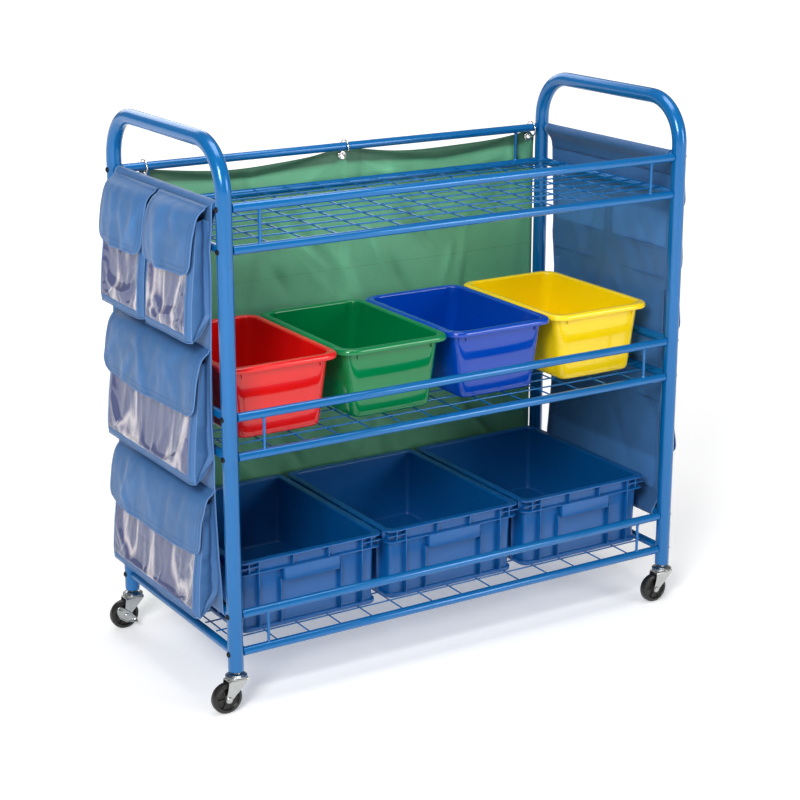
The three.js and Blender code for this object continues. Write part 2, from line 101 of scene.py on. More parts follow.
class Finish:
    """A Principled material that details are added to."""

    def __init__(self, name, colour, roughness, metallic=0.0, **sockets):
        self.material = bpy.data.materials.new(name)
        self.material.use_nodes = True
        self.nodes = self.material.node_tree.nodes
        self.links = self.material.node_tree.links
        self.shader = self.nodes["Principled BSDF"]
        self.colour = colour
        self.height = None
        self.fill(self.shader, Base_Color=colour, Roughness=roughness, Metallic=metallic, **sockets)
        self.place = self.node("TexCoord").outputs["Object"]

    def feed(self, socket, value):
        """Links another node's output to a socket, or sets the socket to a plain value."""
        if isinstance(value, bpy.types.NodeSocket):
            self.links.new(value, socket)
        else:
            socket.default_value = value

    def fill(self, node, **sockets):
        for name, value in sockets.items():
            self.feed(node.inputs[name.replace("_", " ")], value)

    def node(self, kind, **sockets):
        made = self.nodes.new(f"ShaderNode{kind}")
        self.fill(made, **sockets)
        return made

    def noise(self, scale, detail=3.0, stretch=(1, 1, 1)):
        """A noise pattern in the cart's own coordinates, whose features are about 1/scale metres."""
        mapping = self.node("Mapping", Vector=self.place, Scale=stretch)
        texture = self.node("TexNoise", Vector=mapping.outputs["Vector"], Scale=scale, Detail=detail)
        return texture.outputs["Fac"]

    def ramp(self, value, low, high, source=(0.3, 0.7)):
        """value, mapped from the source range to low..high."""
        limits = dict(From_Min=source[0], From_Max=source[1], To_Min=low, To_Max=high)
        return self.node("MapRange", Value=value, **limits).outputs["Result"]

    def maths(self, operation, *values):
        made = self.node("Math")
        made.operation = operation
        for socket, value in zip(made.inputs, values):
            self.feed(socket, value)
        return made.outputs[0]

    def brighten(self, value):
        """Multiplies the base colour's brightness by value."""
        base = self.shader.inputs["Base Color"]
        colour = base.links[0].from_socket if base.is_linked else self.colour
        made = self.node("HueSaturation", Color=colour, Value=value)
        self.links.new(made.outputs["Color"], base)
        return self

    def mottle(self, scale, spread):
        """Uneven colour: brightness goes up and down by spread."""
        return self.brighten(self.ramp(self.noise(scale), 1 - spread, 1 + spread))

    def wear(self, scale, low, high):
        """Uneven gloss: roughness goes from low to high."""
        self.links.new(self.ramp(self.noise(scale, 4.0), low, high), self.shader.inputs["Roughness"])
        return self

    def streaks(self, bright, scale, stretch):
        """Painted highlights: bright smears painted into the base colour that wander down the surface,
        where creased film would catch the light.
        """
        ridge = self.maths("ABSOLUTE", self.maths("SUBTRACT", self.noise(scale, 2.5, stretch), 0.5))
        mix = self.node("Mix")
        mix.data_type = "RGBA"
        share = self.ramp(ridge, 1.0, 0.0, (0.004, 0.045))
        for index, value in ((0, share), (6, self.colour), (7, bright)):  # factor, first and second colour
            self.feed(mix.inputs[index], value)
        self.links.new(mix.outputs[2], self.shader.inputs["Base Color"])
        return self

    def bump(self, height, distance, strength):
        made = self.node("Bump", Height=height, Distance=distance, Strength=strength)
        if self.height is not None:
            self.links.new(self.height, made.inputs["Normal"])
        self.height = made.outputs["Normal"]
        self.links.new(self.height, self.shader.inputs["Normal"])
        return self

    def weave(self, pitch, distance):
        """A plain weave laid out on the cloth's flat cut, with darker gaps between the threads."""
        uv = self.node("UVMap")
        uv.uv_map = "cut"
        parts = self.node("SeparateXYZ", Vector=uv.outputs["UV"]).outputs
        phases = [self.maths("MULTIPLY", parts[axis], 2 * math.pi / pitch) for axis in "XY"]
        waves = [self.maths("SINE", phase) for phase in phases]
        cross = self.maths("MULTIPLY", *waves)
        self.brighten(self.ramp(cross, 0.9, 1.06, (-1, 1)))
        return self.bump(cross, distance, 0.5)

    def apply_painted_shading(self):
        """Painted light and shade: scales the base colour's brightness by the piece's painted shading
        values, darker where a double layer lets less light through, lighter where light shows through or
        on a crease's ridge.
        """
        made = self.node("Attribute")
        made.attribute_name = "painted_shading"
        return self.brighten(made.outputs["Fac"])


def surface(name, colour, roughness, metallic, mottle, wear, grain, **sockets):
    """A hard finish or a thread. grain is the fine bump's noise scale, detail, height and strength."""
    finish = Finish(name, srgb(*colour), roughness, metallic, **sockets)
    if mottle:
        finish.mottle(*mottle)
    if wear:
        finish.wear(*wear)
    scale, detail, height, strength = grain
    return finish.bump(finish.noise(scale, detail), height, strength).material


def plastic(name, colour, roughness, grain, spread=0.03):
    return surface(name, colour, roughness[0], 0.0, (7, spread), (18, *roughness),
                   (grain, 3, 0.00005, 0.3), Coat_Weight=0.15, Coat_Roughness=0.04)


def polyester(name, colour):
    finish = Finish(name, srgb(*colour), 0.55, Sheen_Weight=0.12, Sheen_Roughness=0.4)
    finish.apply_painted_shading().mottle(14, 0.05).mottle(240, 0.04).wear(50, 0.45, 0.62)
    finish.weave(0.0011, 0.00002)
    return finish.bump(finish.noise(260), 0.00007, 0.5).material


def thread(name, colour):
    return surface(name, colour, 0.6, 0.0, (900, 0.15), None, (2500, 2, 0.0001, 0.5))


def clear_film():
    finish = Finish("clear_vinyl_film", srgb(104, 108, 152), 0.06, Alpha=0.42, IOR=1.6, Coat_Weight=1.0,
                    Coat_Roughness=0.03)
    # Painted highlights: bright streaks painted into the film's colour, where its creases would catch the
    # light.
    finish.streaks(srgb(250, 240, 244), 11, (1, 1, 0.32))
    return finish.bump(finish.noise(26, 3, (1, 1, 0.4)), 0.004, 0.8).material


GLOSS = (0.07, 0.13)
PAINT = surface("blue_powder_coat", (0, 97, 160), 0.16, 0.15, (9, 0.05), (30, 0.17, 0.25),
                (1300, 2, 0.00002, 0.2), Coat_Weight=0.15, Coat_Roughness=0.05)
ZINC = surface("zinc_plate", (180, 182, 180), 0.25, 1.0, (120, 0.04), (160, 0.18, 0.3),
               (700, 3, 0.00003, 0.3))
RUBBER = surface("black_wheel", (22, 20, 19), 0.4, 0.0, (90, 0.12), (140, 0.32, 0.48),
                 (1100, 3, 0.0001, 0.5))
SCREW = surface("black_oxide_screw", (26, 25, 26), 0.35, 0.7, (300, 0.2), None, (1500, 2, 0.00005, 0.5))
NICKEL = surface("nickel_ring", (222, 220, 214), 0.12, 1.0, None, (300, 0.08, 0.2),
                 (900, 2, 0.00003, 0.4))
TRAY_COLOURS = {"red": (214, 18, 16), "green": (0, 118, 64), "blue": (0, 62, 166), "yellow": (240, 206, 4)}
TRAY_FINISH = {name: plastic(f"{name}_gloss", shade, GLOSS, 500) for name, shade in TRAY_COLOURS.items()}
TOTE_FINISH = plastic("tote_blue_satin", (0, 84, 150), (0.3, 0.42), 900, 0.04)
GREEN_CLOTH = polyester("green_polyester", (98, 170, 130))
BLUE_CLOTH = polyester("blue_polyester", (55, 102, 154))
# The bound edges are real pieces; their colour is lighter than the cloth's as a painted highlight along
# each edge.
PAINTED_HIGHLIGHT_BINDING = thread("blue_binding_painted_highlight", (84, 124, 176))
DARK_THREAD = thread("dark_thread", (22, 50, 96))
GREEN_THREAD = thread("green_thread", (24, 78, 58))
VINYL = clear_film()

# ---- Mesh making ----------------------------------------------------------------------------


def circle(radius, sides, first=0.0):
    """(x, y) points evenly round a circle."""
    angles = [2 * math.pi * k / sides + first for k in range(sides)]
    return [(radius * math.cos(a), radius * math.sin(a)) for a in angles]


def mirrored(profile):
    """A profile of (radius, z) points, carried on below z = 0."""
    return profile + [(r, -z) for r, z in reversed(profile)]


def at_height(outline, z):
    return [(x, y, z) for x, y in outline]


def grid_faces(rows, columns):
    return [
        [r * columns + c, r * columns + c + 1, (r + 1) * columns + c + 1, (r + 1) * columns + c]
        for r in range(rows - 1)
        for c in range(columns - 1)
    ]


class Shape:
    """Points and faces gathered for one piece."""

    def __init__(self):
        self.points = []
        self.faces = []

    def add(self, points, faces, place=Matrix()):
        first = len(self.points)
        self.points += [place @ Vector(p) for p in points]
        self.faces += [[first + i for i in face] for face in faces]
        return self

    def loft(self, rings, place=Matrix(), capped=True):
        """A skin over closed rings that have equally many points."""
        count, last = len(rings[0]), len(rings) - 1
        starts = [(r * count + i, r * count + (i + 1) % count)
                  for r in range(last) for i in range(count)]
        faces = [[a, b, b + count, a + count] for a, b in starts]
        if capped:
            faces += [list(range(count)), [last * count + i for i in range(count)]]
        return self.add([p for ring in rings for p in ring], faces, place)

    def turn(self, profile, place, sides, closed=False):
        """A body turned about Z from (radius, z) points."""
        rings = [at_height(circle(radius, sides), z) for radius, z in profile]
        if closed:
            rings.append(rings[0])
        return self.loft(rings, place, not closed)

    def tube(self, path, radius, sides, rounding=0.0, place=Matrix()):
        """A round bar along a path, its ends rounded at their edges."""
        path = [Vector(p) for p in path]
        stations = [(p, radius) for p in path]
        if rounding:
            angles = [math.pi / 6 * i for i in range(4)]
            steps = [(1 - math.cos(a), 1 - math.sin(a)) for a in angles]
            starts = []
            for end, inner in ((path[0], path[1]), (path[-1], path[-2])):
                inwards = (inner - end).normalized()
                starts.append([(end + inwards * rounding * s, radius - rounding * r) for s, r in steps])
            stations = starts[0] + stations[1:-1] + starts[1][::-1]
        rings = []
        side = None
        for i, (point, size) in enumerate(stations):
            before, after = stations[max(i - 1, 0)][0], stations[min(i + 1, len(stations) - 1)][0]
            along = (after - before).normalized()
            if side is None:
                side = along.orthogonal()
            side = (side - along * side.dot(along)).normalized()
            other = along.cross(side)
            rings.append([point + (side * c + other * s) * size for c, s in circle(1, sides)])
        return self.loft(rings, place)

    def block(self, low, high, place):
        (x0, y0, z0), (x1, y1, z1) = low, high
        outline = [(x0, y0), (x1, y0), (x1, y1), (x0, y1)]
        return self.loft([at_height(outline, z0), at_height(outline, z1)], place)

    def prism(self, outline, low, high, place):
        """A flat outline in X and Z, from y = low to y = high."""
        return self.loft([[(x, y, z) for x, z in outline] for y in (low, high)], place)


def link(name, mesh, finish, body, replaces=()):
    """Makes a piece of a mesh, gives it its finish and its body, and hides what it stands for."""
    made = bpy.data.objects.new(name, mesh)
    bpy.context.scene.collection.objects.link(made)
    mesh.materials.append(finish)
    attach(made, body)
    if replaces:
        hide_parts(*replaces)
    return made


def piece(name, shape, finish, body, replaces=(), bevel=0.0, sharp=35):
    """A solid piece of a Shape: bevelled edges, smooth shading up to the sharp angle."""
    mesh = bpy.data.meshes.new(name)
    mesh.from_pydata([tuple(p) for p in shape.points], [], shape.faces)
    work = bmesh.new()
    work.from_mesh(mesh)
    bmesh.ops.recalc_face_normals(work, faces=work.faces)
    if bevel:
        edges = [e for e in work.edges if e.calc_face_angle(0) > math.radians(40)]
        bmesh.ops.bevel(work, geom=edges, offset=bevel, segments=2, profile=0.5, affect="EDGES",
                        clamp_overlap=True)
    work.to_mesh(mesh)
    work.free()
    mesh.polygons.foreach_set("use_smooth", [True] * len(mesh.polygons))
    mesh.set_sharp_from_angle(angle=math.radians(sharp))
    return link(name, mesh, finish, body, replaces)


def at(x, y, z):
    return Matrix.Translation((x, y, z))


AXIS_ALONG_Y = Matrix.Rotation(math.pi / 2, 4, "X")  # turns +Z towards -Y

# ---- Frame ------------------------------------------------------------------------------------


def post_path(x):
    """Up the front post, over the handle and down the rear post."""
    springing = HANDLE_Z - POST_BEND
    reach = POST_Y - POST_BEND
    turns = [math.pi / 2 * i / 14 for i in range(15)]
    front = [(x, -reach - POST_BEND * math.cos(a), springing + POST_BEND * math.sin(a)) for a in turns]
    rear = [(x, -y, z) for x, y, z in reversed(front)]
    return [(x, -POST_Y, FOOT_Z), *front, *rear, (x, POST_Y, FOOT_Z)]


def end_frame(side):
    x = SIDES[side] * POST_X
    shape = Shape().tube(post_path(x), POST_RADIUS, 32, 0.0022)
    proud, inner = RAIL_RADIUS + 0.0009, RAIL_RADIUS - 0.0005
    bead = [(inner, -0.0016), (proud, -0.0008), (proud, 0.0008), (inner, 0.0016)]
    for height in RAIL_HEIGHTS:
        shape.tube([(x, -POST_Y, height), (x, POST_Y, height)], RAIL_RADIUS, 24)
        for end in (-1, 1):  # the weld bead where a side tube meets the post
            y = end * (POST_Y - math.sqrt(POST_RADIUS**2 - RAIL_RADIUS**2 / 2))
            shape.turn(bead, at(x, y, height) @ AXIS_ALONG_Y, 24)
    piece(f"end_frame_{side}_tubes", shape, PAINT, "frame", [f"end_frame_{side}"])


def guard(level, where):
    y = POST_Y if where == "rear" else -POST_Y
    end = POST_X - POST_RADIUS - GAP
    low, high = RAILS[level]
    shape = Shape()
    for z in (low, high):
        shape.tube([(-end, y, z), (end, y, z)], RAIL_RADIUS, 24, 0.0012)
    for side in (-1, 1):
        x = side * (POST_X - STRUT_INSET)
        shape.tube([(x, y, low), (x, y, high)], STRUT_RADIUS, 14)
        for z, step in ((low + RAIL_RADIUS, 0.0022), (high - RAIL_RADIUS, -0.0022)):  # the weld flares
            flare = [(0.0015, z - step), (0.0012, z), (0, z + step)]
            shape.turn([(STRUT_RADIUS + proud, height) for proud, height in flare], at(x, y, 0), 14)
    name = f"{level}_shelf_{where}_guard"
    piece(f"{name}_tubes", shape, PAINT, "frame", [name])


def evenly(count, pitch):
    return [(i - (count - 1) / 2) * pitch for i in range(count)]


def deck(level):
    """Cross wires butted into the rails, with the long wires welded on top of them."""
    name = f"{level}_shelf_deck"
    long_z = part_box(name)[1].z - WIRE_RADIUS
    cross_z = long_z - 2 * WIRE_RADIUS
    reach = POST_Y - math.sqrt(RAIL_RADIUS**2 - (cross_z - RAILS[level][0]) ** 2) + 0.0012
    end = POST_X - RAIL_RADIUS * 0.8
    shape = Shape()
    for x in evenly(*CROSS_WIRES):
        shape.tube([(x, -reach, cross_z), (x, reach, cross_z)], WIRE_RADIUS, 10)
    for y in evenly(*LONG_WIRES):
        shape.tube([(-end, y, long_z), (end, y, long_z)], WIRE_RADIUS, 10, 0.0006)
    piece(f"{name}_wires", shape, PAINT, "frame", [name])


def hexagon(radius, steps):
    """A hexagon's points, with this many steps along each side."""
    corners = circle(radius, 6)
    ends = zip(corners, corners[1:] + corners[:1])
    return [(ax + (bx - ax) * i / steps, ay + (by - ay) * i / steps)
            for (ax, ay), (bx, by) in ends for i in range(steps)]


def screws(side):
    """Button-head screws through the posts into the rails, with a hexagon socket."""
    dome = [(0.0052, -0.004), (0.0052, 0.0004), (0.0049, 0.0012), (0.0041, 0.002), (0.003, 0.0025),
            (0.0022, 0.0026)]
    rings = [at_height(circle(radius, 24), z) for radius, z in dome]
    rings += [at_height(hexagon(0.0019, 4), z) for z in (0.0026, 0.0008)]
    out = SIDES[side]
    shape = Shape()
    for height in RAIL_HEIGHTS:
        for y in (-POST_Y, POST_Y):
            place = at(out * POST_X, y, height) @ Matrix.Rotation(out * math.pi / 2, 4, "Y")
            shape.loft(rings, place @ at(0, 0, POST_RADIUS))
    piece(f"shelf_screws_{side}", shape, SCREW, "frame")


# ---- Casters ----------------------------------------------------------------------------------

FORK = {"trail": 0.020, "inner": 0.0102, "sheet": 0.002, "crown": 0.0625, "front": 0.0195, "tip": 0.0066}


def fork_sheet():
    """Rows across the bent fork, from one leg's tip over the crown to the other's, each back to front."""
    wheel = middle_of("caster_front_left_wheel").z
    trail, crown, tip = FORK["trail"], FORK["crown"], FORK["tip"]
    y_out = FORK["inner"] + FORK["sheet"] / 2
    bend = 0.0035
    leg_top = crown - bend
    # (y, z) down the middle of the crown, its bend, one leg and its round tip
    half = [(y_out * t, crown) for t in (0.0, 0.35)]
    half += [(y_out - bend + bend * math.sin(a), leg_top + bend * math.cos(a))
             for a in (math.pi / 8 * i for i in range(5))]
    half += [(y_out, leg_top + (wheel - leg_top) * t) for t in (0.25, 0.5, 0.75, 0.9, 1.0)]
    half += [(y_out, wheel - tip * math.sin(a)) for a in (0.35, 0.7, 1.0, 1.25, 1.45)]
    rows = []
    for y, z in [(-y, z) for y, z in reversed(half[1:])] + half:
        if z > wheel:
            share = (z - wheel) / (leg_top - wheel)
            ease = min(share, 1.0)
            back = -trail - tip * (1 - ease) ** 1.4
            front = -trail + tip + (FORK["front"] + trail - 0.002 - tip) * ease**0.92
            if share > 1:
                front = math.sqrt(max(FORK["front"] ** 2 - y * y * 0.55, 0))
        else:
            half_width = math.sqrt(max(tip**2 - (z - wheel) ** 2, 0.0006**2))
            back, front = -trail - half_width, -trail + half_width
        rows.append([(back + (front - back) * t, y, z) for t in (0, 0.06, 0.2, 0.4, 0.6, 0.8, 0.94, 1)])
    return rows


def wheel_shape(place):
    """A tread with round shoulders, a rim ring, a sunk web with six ribs and a hub."""
    side = [(0.0036, 0.0097), (0.0078, 0.0097), (0.0086, 0.0090), (0.0088, 0.0055), (0.0100, 0.0046),
            (0.0195, 0.0046), (0.0206, 0.0056), (0.0210, 0.0080), (0.0216, 0.0087), (0.0226, 0.0087),
            (0.0234, 0.0080), (0.0252, 0.0078), (0.0271, 0.0068), (0.0281, 0.0050), (0.0285, 0.0028)]
    shape = Shape().turn(mirrored(side), place, 64, True)
    for k in range(6):
        turned = place @ Matrix.Rotation(math.pi / 3 * k, 4, "Z")
        for low, high in ((-0.0074, -0.004), (0.004, 0.0074)):
            shape.block((0.008, -0.0009, low), (0.0212, 0.0009, high), turned)
    return shape


def lever_shape(place):
    """A pressed rocker with a raised rim, a treadle and a release tab, in X and Z about the axle."""
    outline = [(-0.025, 0.003), (-0.0238, 0.0072), (-0.0205, 0.0092), (-0.008, 0.0095), (0.008, 0.0082),
               (0.0225, 0.0038), (0.024, 0.0015), (0.0232, -0.0025), (0.006, -0.0102), (-0.010, -0.0102),
               (-0.0185, -0.0062), (-0.0235, -0.001)]
    shape = Shape().prism(outline, 0.0, 0.0015, place)
    for i, ((ax, az), (bx, bz)) in enumerate(zip(outline, outline[1:] + outline[:1])):
        if i not in (5, 6):  # the rim stops where the release tab stands
            shape.tube([(ax, -0.0002, az), (bx, -0.0002, bz)], 0.0011, 8, 0.0004, place)
    shape.block((-0.0249, -0.0095, 0.0030), (-0.0178, 0.0002, 0.0046), place)
    shape.block((0.0222, -0.0095, -0.0022), (0.0238, 0.0002, 0.0028), place)
    for x, z in ((-0.0155, 0.0025), (0.0135, -0.0005)):
        shape.turn([(0.0024, 0), (0.0021, 0.0008), (0.0012, 0.0013), (0.0003, 0.0014)],
                   place @ at(x, 0.0002, z) @ AXIS_ALONG_Y, 16)
    return shape


def caster(corner):
    name = f"caster_{corner}"
    swivel = f"{name}_swivel_body"
    stem, hub = middle_of(f"{name}_stem"), middle_of(f"{name}_wheel")
    base = at(stem.x, stem.y, 0)

    rows = fork_sheet()
    shape = Shape().add([p for row in rows for p in row], grid_faces(len(rows), len(rows[0])), base)
    fork = piece(f"{name}_fork_pressing", shape, ZINC, swivel, [f"{name}_fork"], sharp=50)
    thick = fork.modifiers.new("thickness", "SOLIDIFY")
    thick.thickness, thick.offset = FORK["sheet"], 0.0
    edge = fork.modifiers.new("edge", "BEVEL")
    edge.width, edge.segments = 0.0005, 2

    top = FORK["crown"] + FORK["sheet"] / 2
    race = [(0.0150, top - 0.0005), (0.0186, top), (0.0193, top + 0.0008), (0.0193, top + 0.0018),
            (0.0185, top + 0.0025), (0.0120, top + 0.0025)]
    piece(f"{name}_lower_race", Shape().turn(race, base, 48), ZINC, swivel)

    top += 0.0031
    dome = [(0.0100, top), (0.0186, top), (0.0196, top + 0.0006), (0.0196, top + 0.0016),
            (0.0187, top + 0.0024), (0.0168, top + 0.0030), (0.0150, top + 0.0046), (0.0128, top + 0.0054),
            (0.0085, top + 0.0056)]
    shape = Shape().turn(dome, base, 48)
    shape.loft([at_height(circle(0.0076, 6), z) for z in (top + 0.005, FOOT_Z - 0.0004)], base)  # the nut
    shape.turn([(0.0105, FOOT_Z + 0.0003), (0.0108, FOOT_Z + 0.001), (0.0108, FOOT_Z + 0.03)], base, 24)
    piece(f"{name}_swivel_race", shape, ZINC, "frame", [f"{name}_stem"], 0.0002)

    across = at(hub.x, hub.y, hub.z) @ AXIS_ALONG_Y
    piece(f"{name}_wheel_moulding", wheel_shape(across), RUBBER, f"{name}_wheel_body",
          [f"{name}_wheel"], sharp=30)

    low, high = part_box(f"{name}_axle")
    head = [(0.0030, 0.0016), (0.0050, 0.0014), (0.0052, 0.0008), (0.0046, 0.0002), (0.0030, 0.0)]
    shape = Shape()
    for end, quarter in ((low.y, -math.pi / 2), (high.y, math.pi / 2)):
        shape.turn(head, at(hub.x, end, hub.z) @ Matrix.Rotation(quarter, 4, "X"), 24)
    shape.tube([(hub.x, low.y + 0.001, hub.z), (hub.x, high.y - 0.001, hub.z)], 0.003, 20)
    piece(f"{name}_axle_rivet", shape, ZINC, swivel, [f"{name}_axle"])

    if corner.startswith("rear"):
        lever = f"{name}_brake_lever"
        place = at(hub.x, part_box(lever)[1].y - 0.0015, hub.z) @ Matrix.Rotation(math.radians(36), 4, "Y")
        piece(f"{name}_brake_pressing", lever_shape(place), ZINC, f"{name}_brake_body", [lever],
              0.0003)


# ---- Trays and totes --------------------------------------------------------------------------


def rounded(width, depth, radius, z, bow=0.0, arc=7, side=8):
    """A rounded rectangle's points at height z; bow moves the middle of its sides outwards."""
    arcs = []
    for turn, (sx, sy) in enumerate(((1, -1), (1, 1), (-1, 1), (-1, -1))):
        cx, cy = sx * (width / 2 - radius), sy * (depth / 2 - radius)
        angles = [(turn - 1 + i / arc) * math.pi / 2 for i in range(arc + 1)]
        arcs.append([(cx + radius * math.cos(a), cy + radius * math.sin(a)) for a in angles])
    ring = []
    for turn in range(4):
        ring += arcs[turn]
        (ax, ay), (bx, by) = arcs[turn][-1], arcs[(turn + 1) % 4][0]
        nx, ny = math.cos(turn * math.pi / 2), math.sin(turn * math.pi / 2)
        for t in (i / side for i in range(1, side)):
            out = bow * 4 * t * (1 - t)
            ring.append((ax + (bx - ax) * t + nx * out, ay + (by - ay) * t + ny * out))
    return at_height(ring, z)


def quarter_round(angles):
    """(inset, rise) along a quarter round, from flat to upright, as shares of its radius."""
    return [(1 - math.sin(a), 1 - math.cos(a)) for a in angles]


def fillet(steps=4):
    return quarter_round([math.pi / 2 * i / steps for i in range(steps + 1)])


def tray(colour):
    node = f"tray_{colour}"
    low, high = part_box(node)
    width, depth, height = high - low
    overhang, drop, sheet = 0.013, 0.010, 0.0024
    thin = 0.0022  # from the outside of the wall to its inside
    floor_size, mouth = (0.164, 0.296), (width - 2 * overhang, depth - 2 * overhang)

    def wall(z, inset, bow=0.0012):
        share = z / height
        sizes = [f + (m - f) * share - 2 * inset for f, m in zip(floor_size, mouth)]
        return rounded(*sizes, max(0.017 + 0.007 * share - inset, 0.008), z, bow)

    def rim(inset, down):
        share = 1 - inset / overhang
        corner = 0.024 + 0.006 * max(share, -0.4)
        return rounded(width - 2 * inset, depth - 2 * inset, corner, height - down)

    foot, inside, roll, lip = 0.008, 0.007, 0.0052, 0.0035
    shares = (0.2, 0.3, 0.4, 0.5, 0.6, 0.7, 0.8, 0.87)
    # Up the outside, under the rim, round its turned-down edge, over it and down the inside.
    rings = [wall(foot * rise, foot * inset) for inset, rise in fillet()]
    rings += [wall(height * t, 0) for t in (0.1, *shares)]
    under = [(overhang - out, z)
             for out, z in ((0, 0.0062), (0.0006, 0.0044), (0.0022, 0.0031), (0.004, sheet))]
    under += [(0.0046, sheet), (0.0028, 0.0036), (sheet, 0.0052), (sheet, drop - 0.001)]
    under += [(0.0020, drop), (0.0006, drop), (0, drop - 0.0012)]
    over = [(roll * rise, roll * inset)
            for inset, rise in quarter_round((0, 0.4, 0.8, 1.2, math.pi / 2))]
    over += [(0.008, 0), (0.0105, 0)]
    over += [(overhang + 0.0022 - lip * inset, lip * rise)
             for inset, rise in quarter_round((0.5, 0.9, 1.3, math.pi / 2))]
    rings += [rim(inset, z) for inset, z in under + over]
    rings += [wall(height * t, thin) for t in reversed(shares)]
    rings += [wall(thin + inside * rise, thin + inside * inset) for inset, rise in reversed(fillet())]
    place = at((low.x + high.x) / 2, (low.y + high.y) / 2, low.z)
    shape = Shape().loft(rings, place)
    for end in (-1, 1):  # the stacking lugs under the rim
        low_y, high_y = sorted((end * (mouth[1] / 2 - 0.004), end * (mouth[1] / 2 + 0.0022)))
        for x in (-0.078, 0.078):
            shape.block((x - 0.0016, low_y, height - 0.021), (x + 0.0016, high_y, height - 0.005), place)
    piece(f"{node}_moulding", shape, TRAY_FINISH[colour], f"{node}_body", [node])


def tote(which):
    node = f"tote_{which}"
    low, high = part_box(node)
    width, depth, height = high - low
    overhang, band, sheet = 0.012, 0.023, 0.0024
    mouth = (width - 2 * overhang, depth - 2 * overhang)
    body = (mouth[0] - 0.004, mouth[1] - 0.006)

    def wall(z, inset=0.0):
        share = z / height
        sizes = [b + (m - b) * share - 2 * inset for b, m in zip(body, mouth)]
        return rounded(*sizes, max(0.012 - inset, 0.004), z, 0.0, 6, 2)

    def flange(inset, z):
        corner = max(0.017 - inset * 0.4, 0.01)
        return rounded(width - 2 * inset, depth - 2 * inset, corner, z, 0.0, 6, 2)

    low_flange = height - band
    # Up the outside from the foot, over the band's lower flange and the rim, and down the inside.
    rings = [wall(z, inset) for z, inset in (
        (0.0, 0.009), (0.0, -0.0035), (0.0018, -0.0055), (0.0072, -0.0055), (0.0088, -0.0045),
        (0.0098, -0.0005), (0.012, 0.0), (low_flange - 0.0035, 0.0))]
    rings += [flange(inset, low_flange + z) for inset, z in (
        (0.0112, -0.0026), (0.0035, -0.0026), (0.0022, -0.0022), (0.0022, -0.0008), (0.0035, 0),
        (0.0112, 0))]
    rings += [wall(low_flange + 0.001), wall(height - 0.0045)]
    rings += [flange(inset, height - z) for inset, z in (
        (0.0112, 0.0032), (0.0012, 0.0032), (0, 0.0024), (0, 0.0010), (0.0010, 0), (0.0125, 0),
        (0.0142, 0.0012))]
    rings += [wall(height * t, sheet) for t in (0.96, 0.5)]
    rings += [wall(sheet + 0.004 * rise, sheet + 0.004 * inset) for inset, rise in reversed(fillet(3))]
    place = at((low.x + high.x) / 2, (low.y + high.y) / 2, low.z)
    shape = Shape().loft(rings, place)

    half_rib, top, base = 0.0011, height - 0.002, 0.009
    full, corner, grip, lip = width / 2 - 0.044, width / 2 - 0.024, 0.056, low_flange - 0.026
    # Ribs on the ends and on the sides: distance from the middle, lower and upper end, and inset.
    end_ribs = [(full, base, top, 0.0028), (corner, low_flange, top, 0.0032),
                (0.0365, low_flange, top, 0.0032), (grip + 0.006, base, lip + 0.004, 0.0042),
                (grip, lip, low_flange, 0.0012)]
    side_ribs = [(depth / 2 - 0.044, base, top, 0.0028), (depth / 2 - 0.024, low_flange, top, 0.0032),
                 (0.105, base, top, 0.0030), (0.052, low_flange, top, 0.0032), (0.0, base, top, 0.0030)]
    for quarter in range(4):
        turn = place @ Matrix.Rotation(math.pi / 2 * quarter, 4, "Z")
        is_end = quarter % 2 == 0
        face = -(depth if is_end else width) / 2
        back = -mouth[1 if is_end else 0] / 2 + 0.002
        for side in (-1, 1):
            for from_middle, bottom, rib_top, inset in end_ribs if is_end else side_ribs:
                x = side * from_middle
                shape.block((x - half_rib, face + inset, bottom), (x + half_rib, back, rib_top), turn)
            if is_end:  # the bar across a corner cell
                near, far = sorted((side * full, side * (width / 2 - 0.004)))
                shape.block((near, face + 0.0036, low_flange + 0.0095),
                            (far, back, low_flange + 0.0115), turn)
        if is_end:  # the pull lip
            shape.block((-grip, face, lip), (grip, face + sheet, low_flange - 0.0005), turn)
    piece(f"{node}_moulding", shape, TOTE_FINISH, f"{node}_body", [node], 0.0005, 30)


# ---- Cloth ------------------------------------------------------------------------------------

SETTLING = []  # cloth pieces that are simulated together


def read(items, attribute, width):
    """One attribute of all of a mesh's items, as a flat array."""
    values = np.zeros(len(items) * width, np.float32)
    items.foreach_get(attribute, values)
    return values


def write(items, attribute, values):
    items.foreach_set(attribute, values.astype(np.float32).ravel())


def fabric_mesh(name, points, faces, cut, painted_shading):
    """A smooth mesh. cut holds each point's place on the flat cut, which the weave follows."""
    mesh = bpy.data.meshes.new(name)
    mesh.from_pydata([tuple(p) for p in points], [], faces)
    layer = mesh.uv_layers.new(name="cut")
    corners = np.zeros(len(mesh.loops), np.int32)
    mesh.loops.foreach_get("vertex_index", corners)
    write(layer.data, "uv", cut[corners])
    write(mesh.attributes.new("painted_shading", "FLOAT", "POINT").data, "value", painted_shading)
    mesh.polygons.foreach_set("use_smooth", [True] * len(mesh.polygons))
    return mesh


def cloth(name, points, cut, finish, body, replaces=(), painted_shading=None, holes=()):
    """A sheet of rows x columns points, without the faces round the points in holes."""
    rows, columns = points.shape[:2]
    holed = {r * columns + c for r, c in holes}
    faces = [f for f in grid_faces(rows, columns) if not holed & set(f)]
    painted_shading = np.ones(rows * columns) if painted_shading is None else painted_shading
    mesh = fabric_mesh(name, points.reshape(-1, 3), faces, cut.reshape(-1, 2), painted_shading)
    made = link(name, mesh, finish, body, replaces)
    made["grid"] = [rows, columns]
    return made


def places(made):
    """A cloth piece's points as rows x columns."""
    return read(made.data.vertices, "co", 3).astype(float).reshape(*made["grid"], 3)


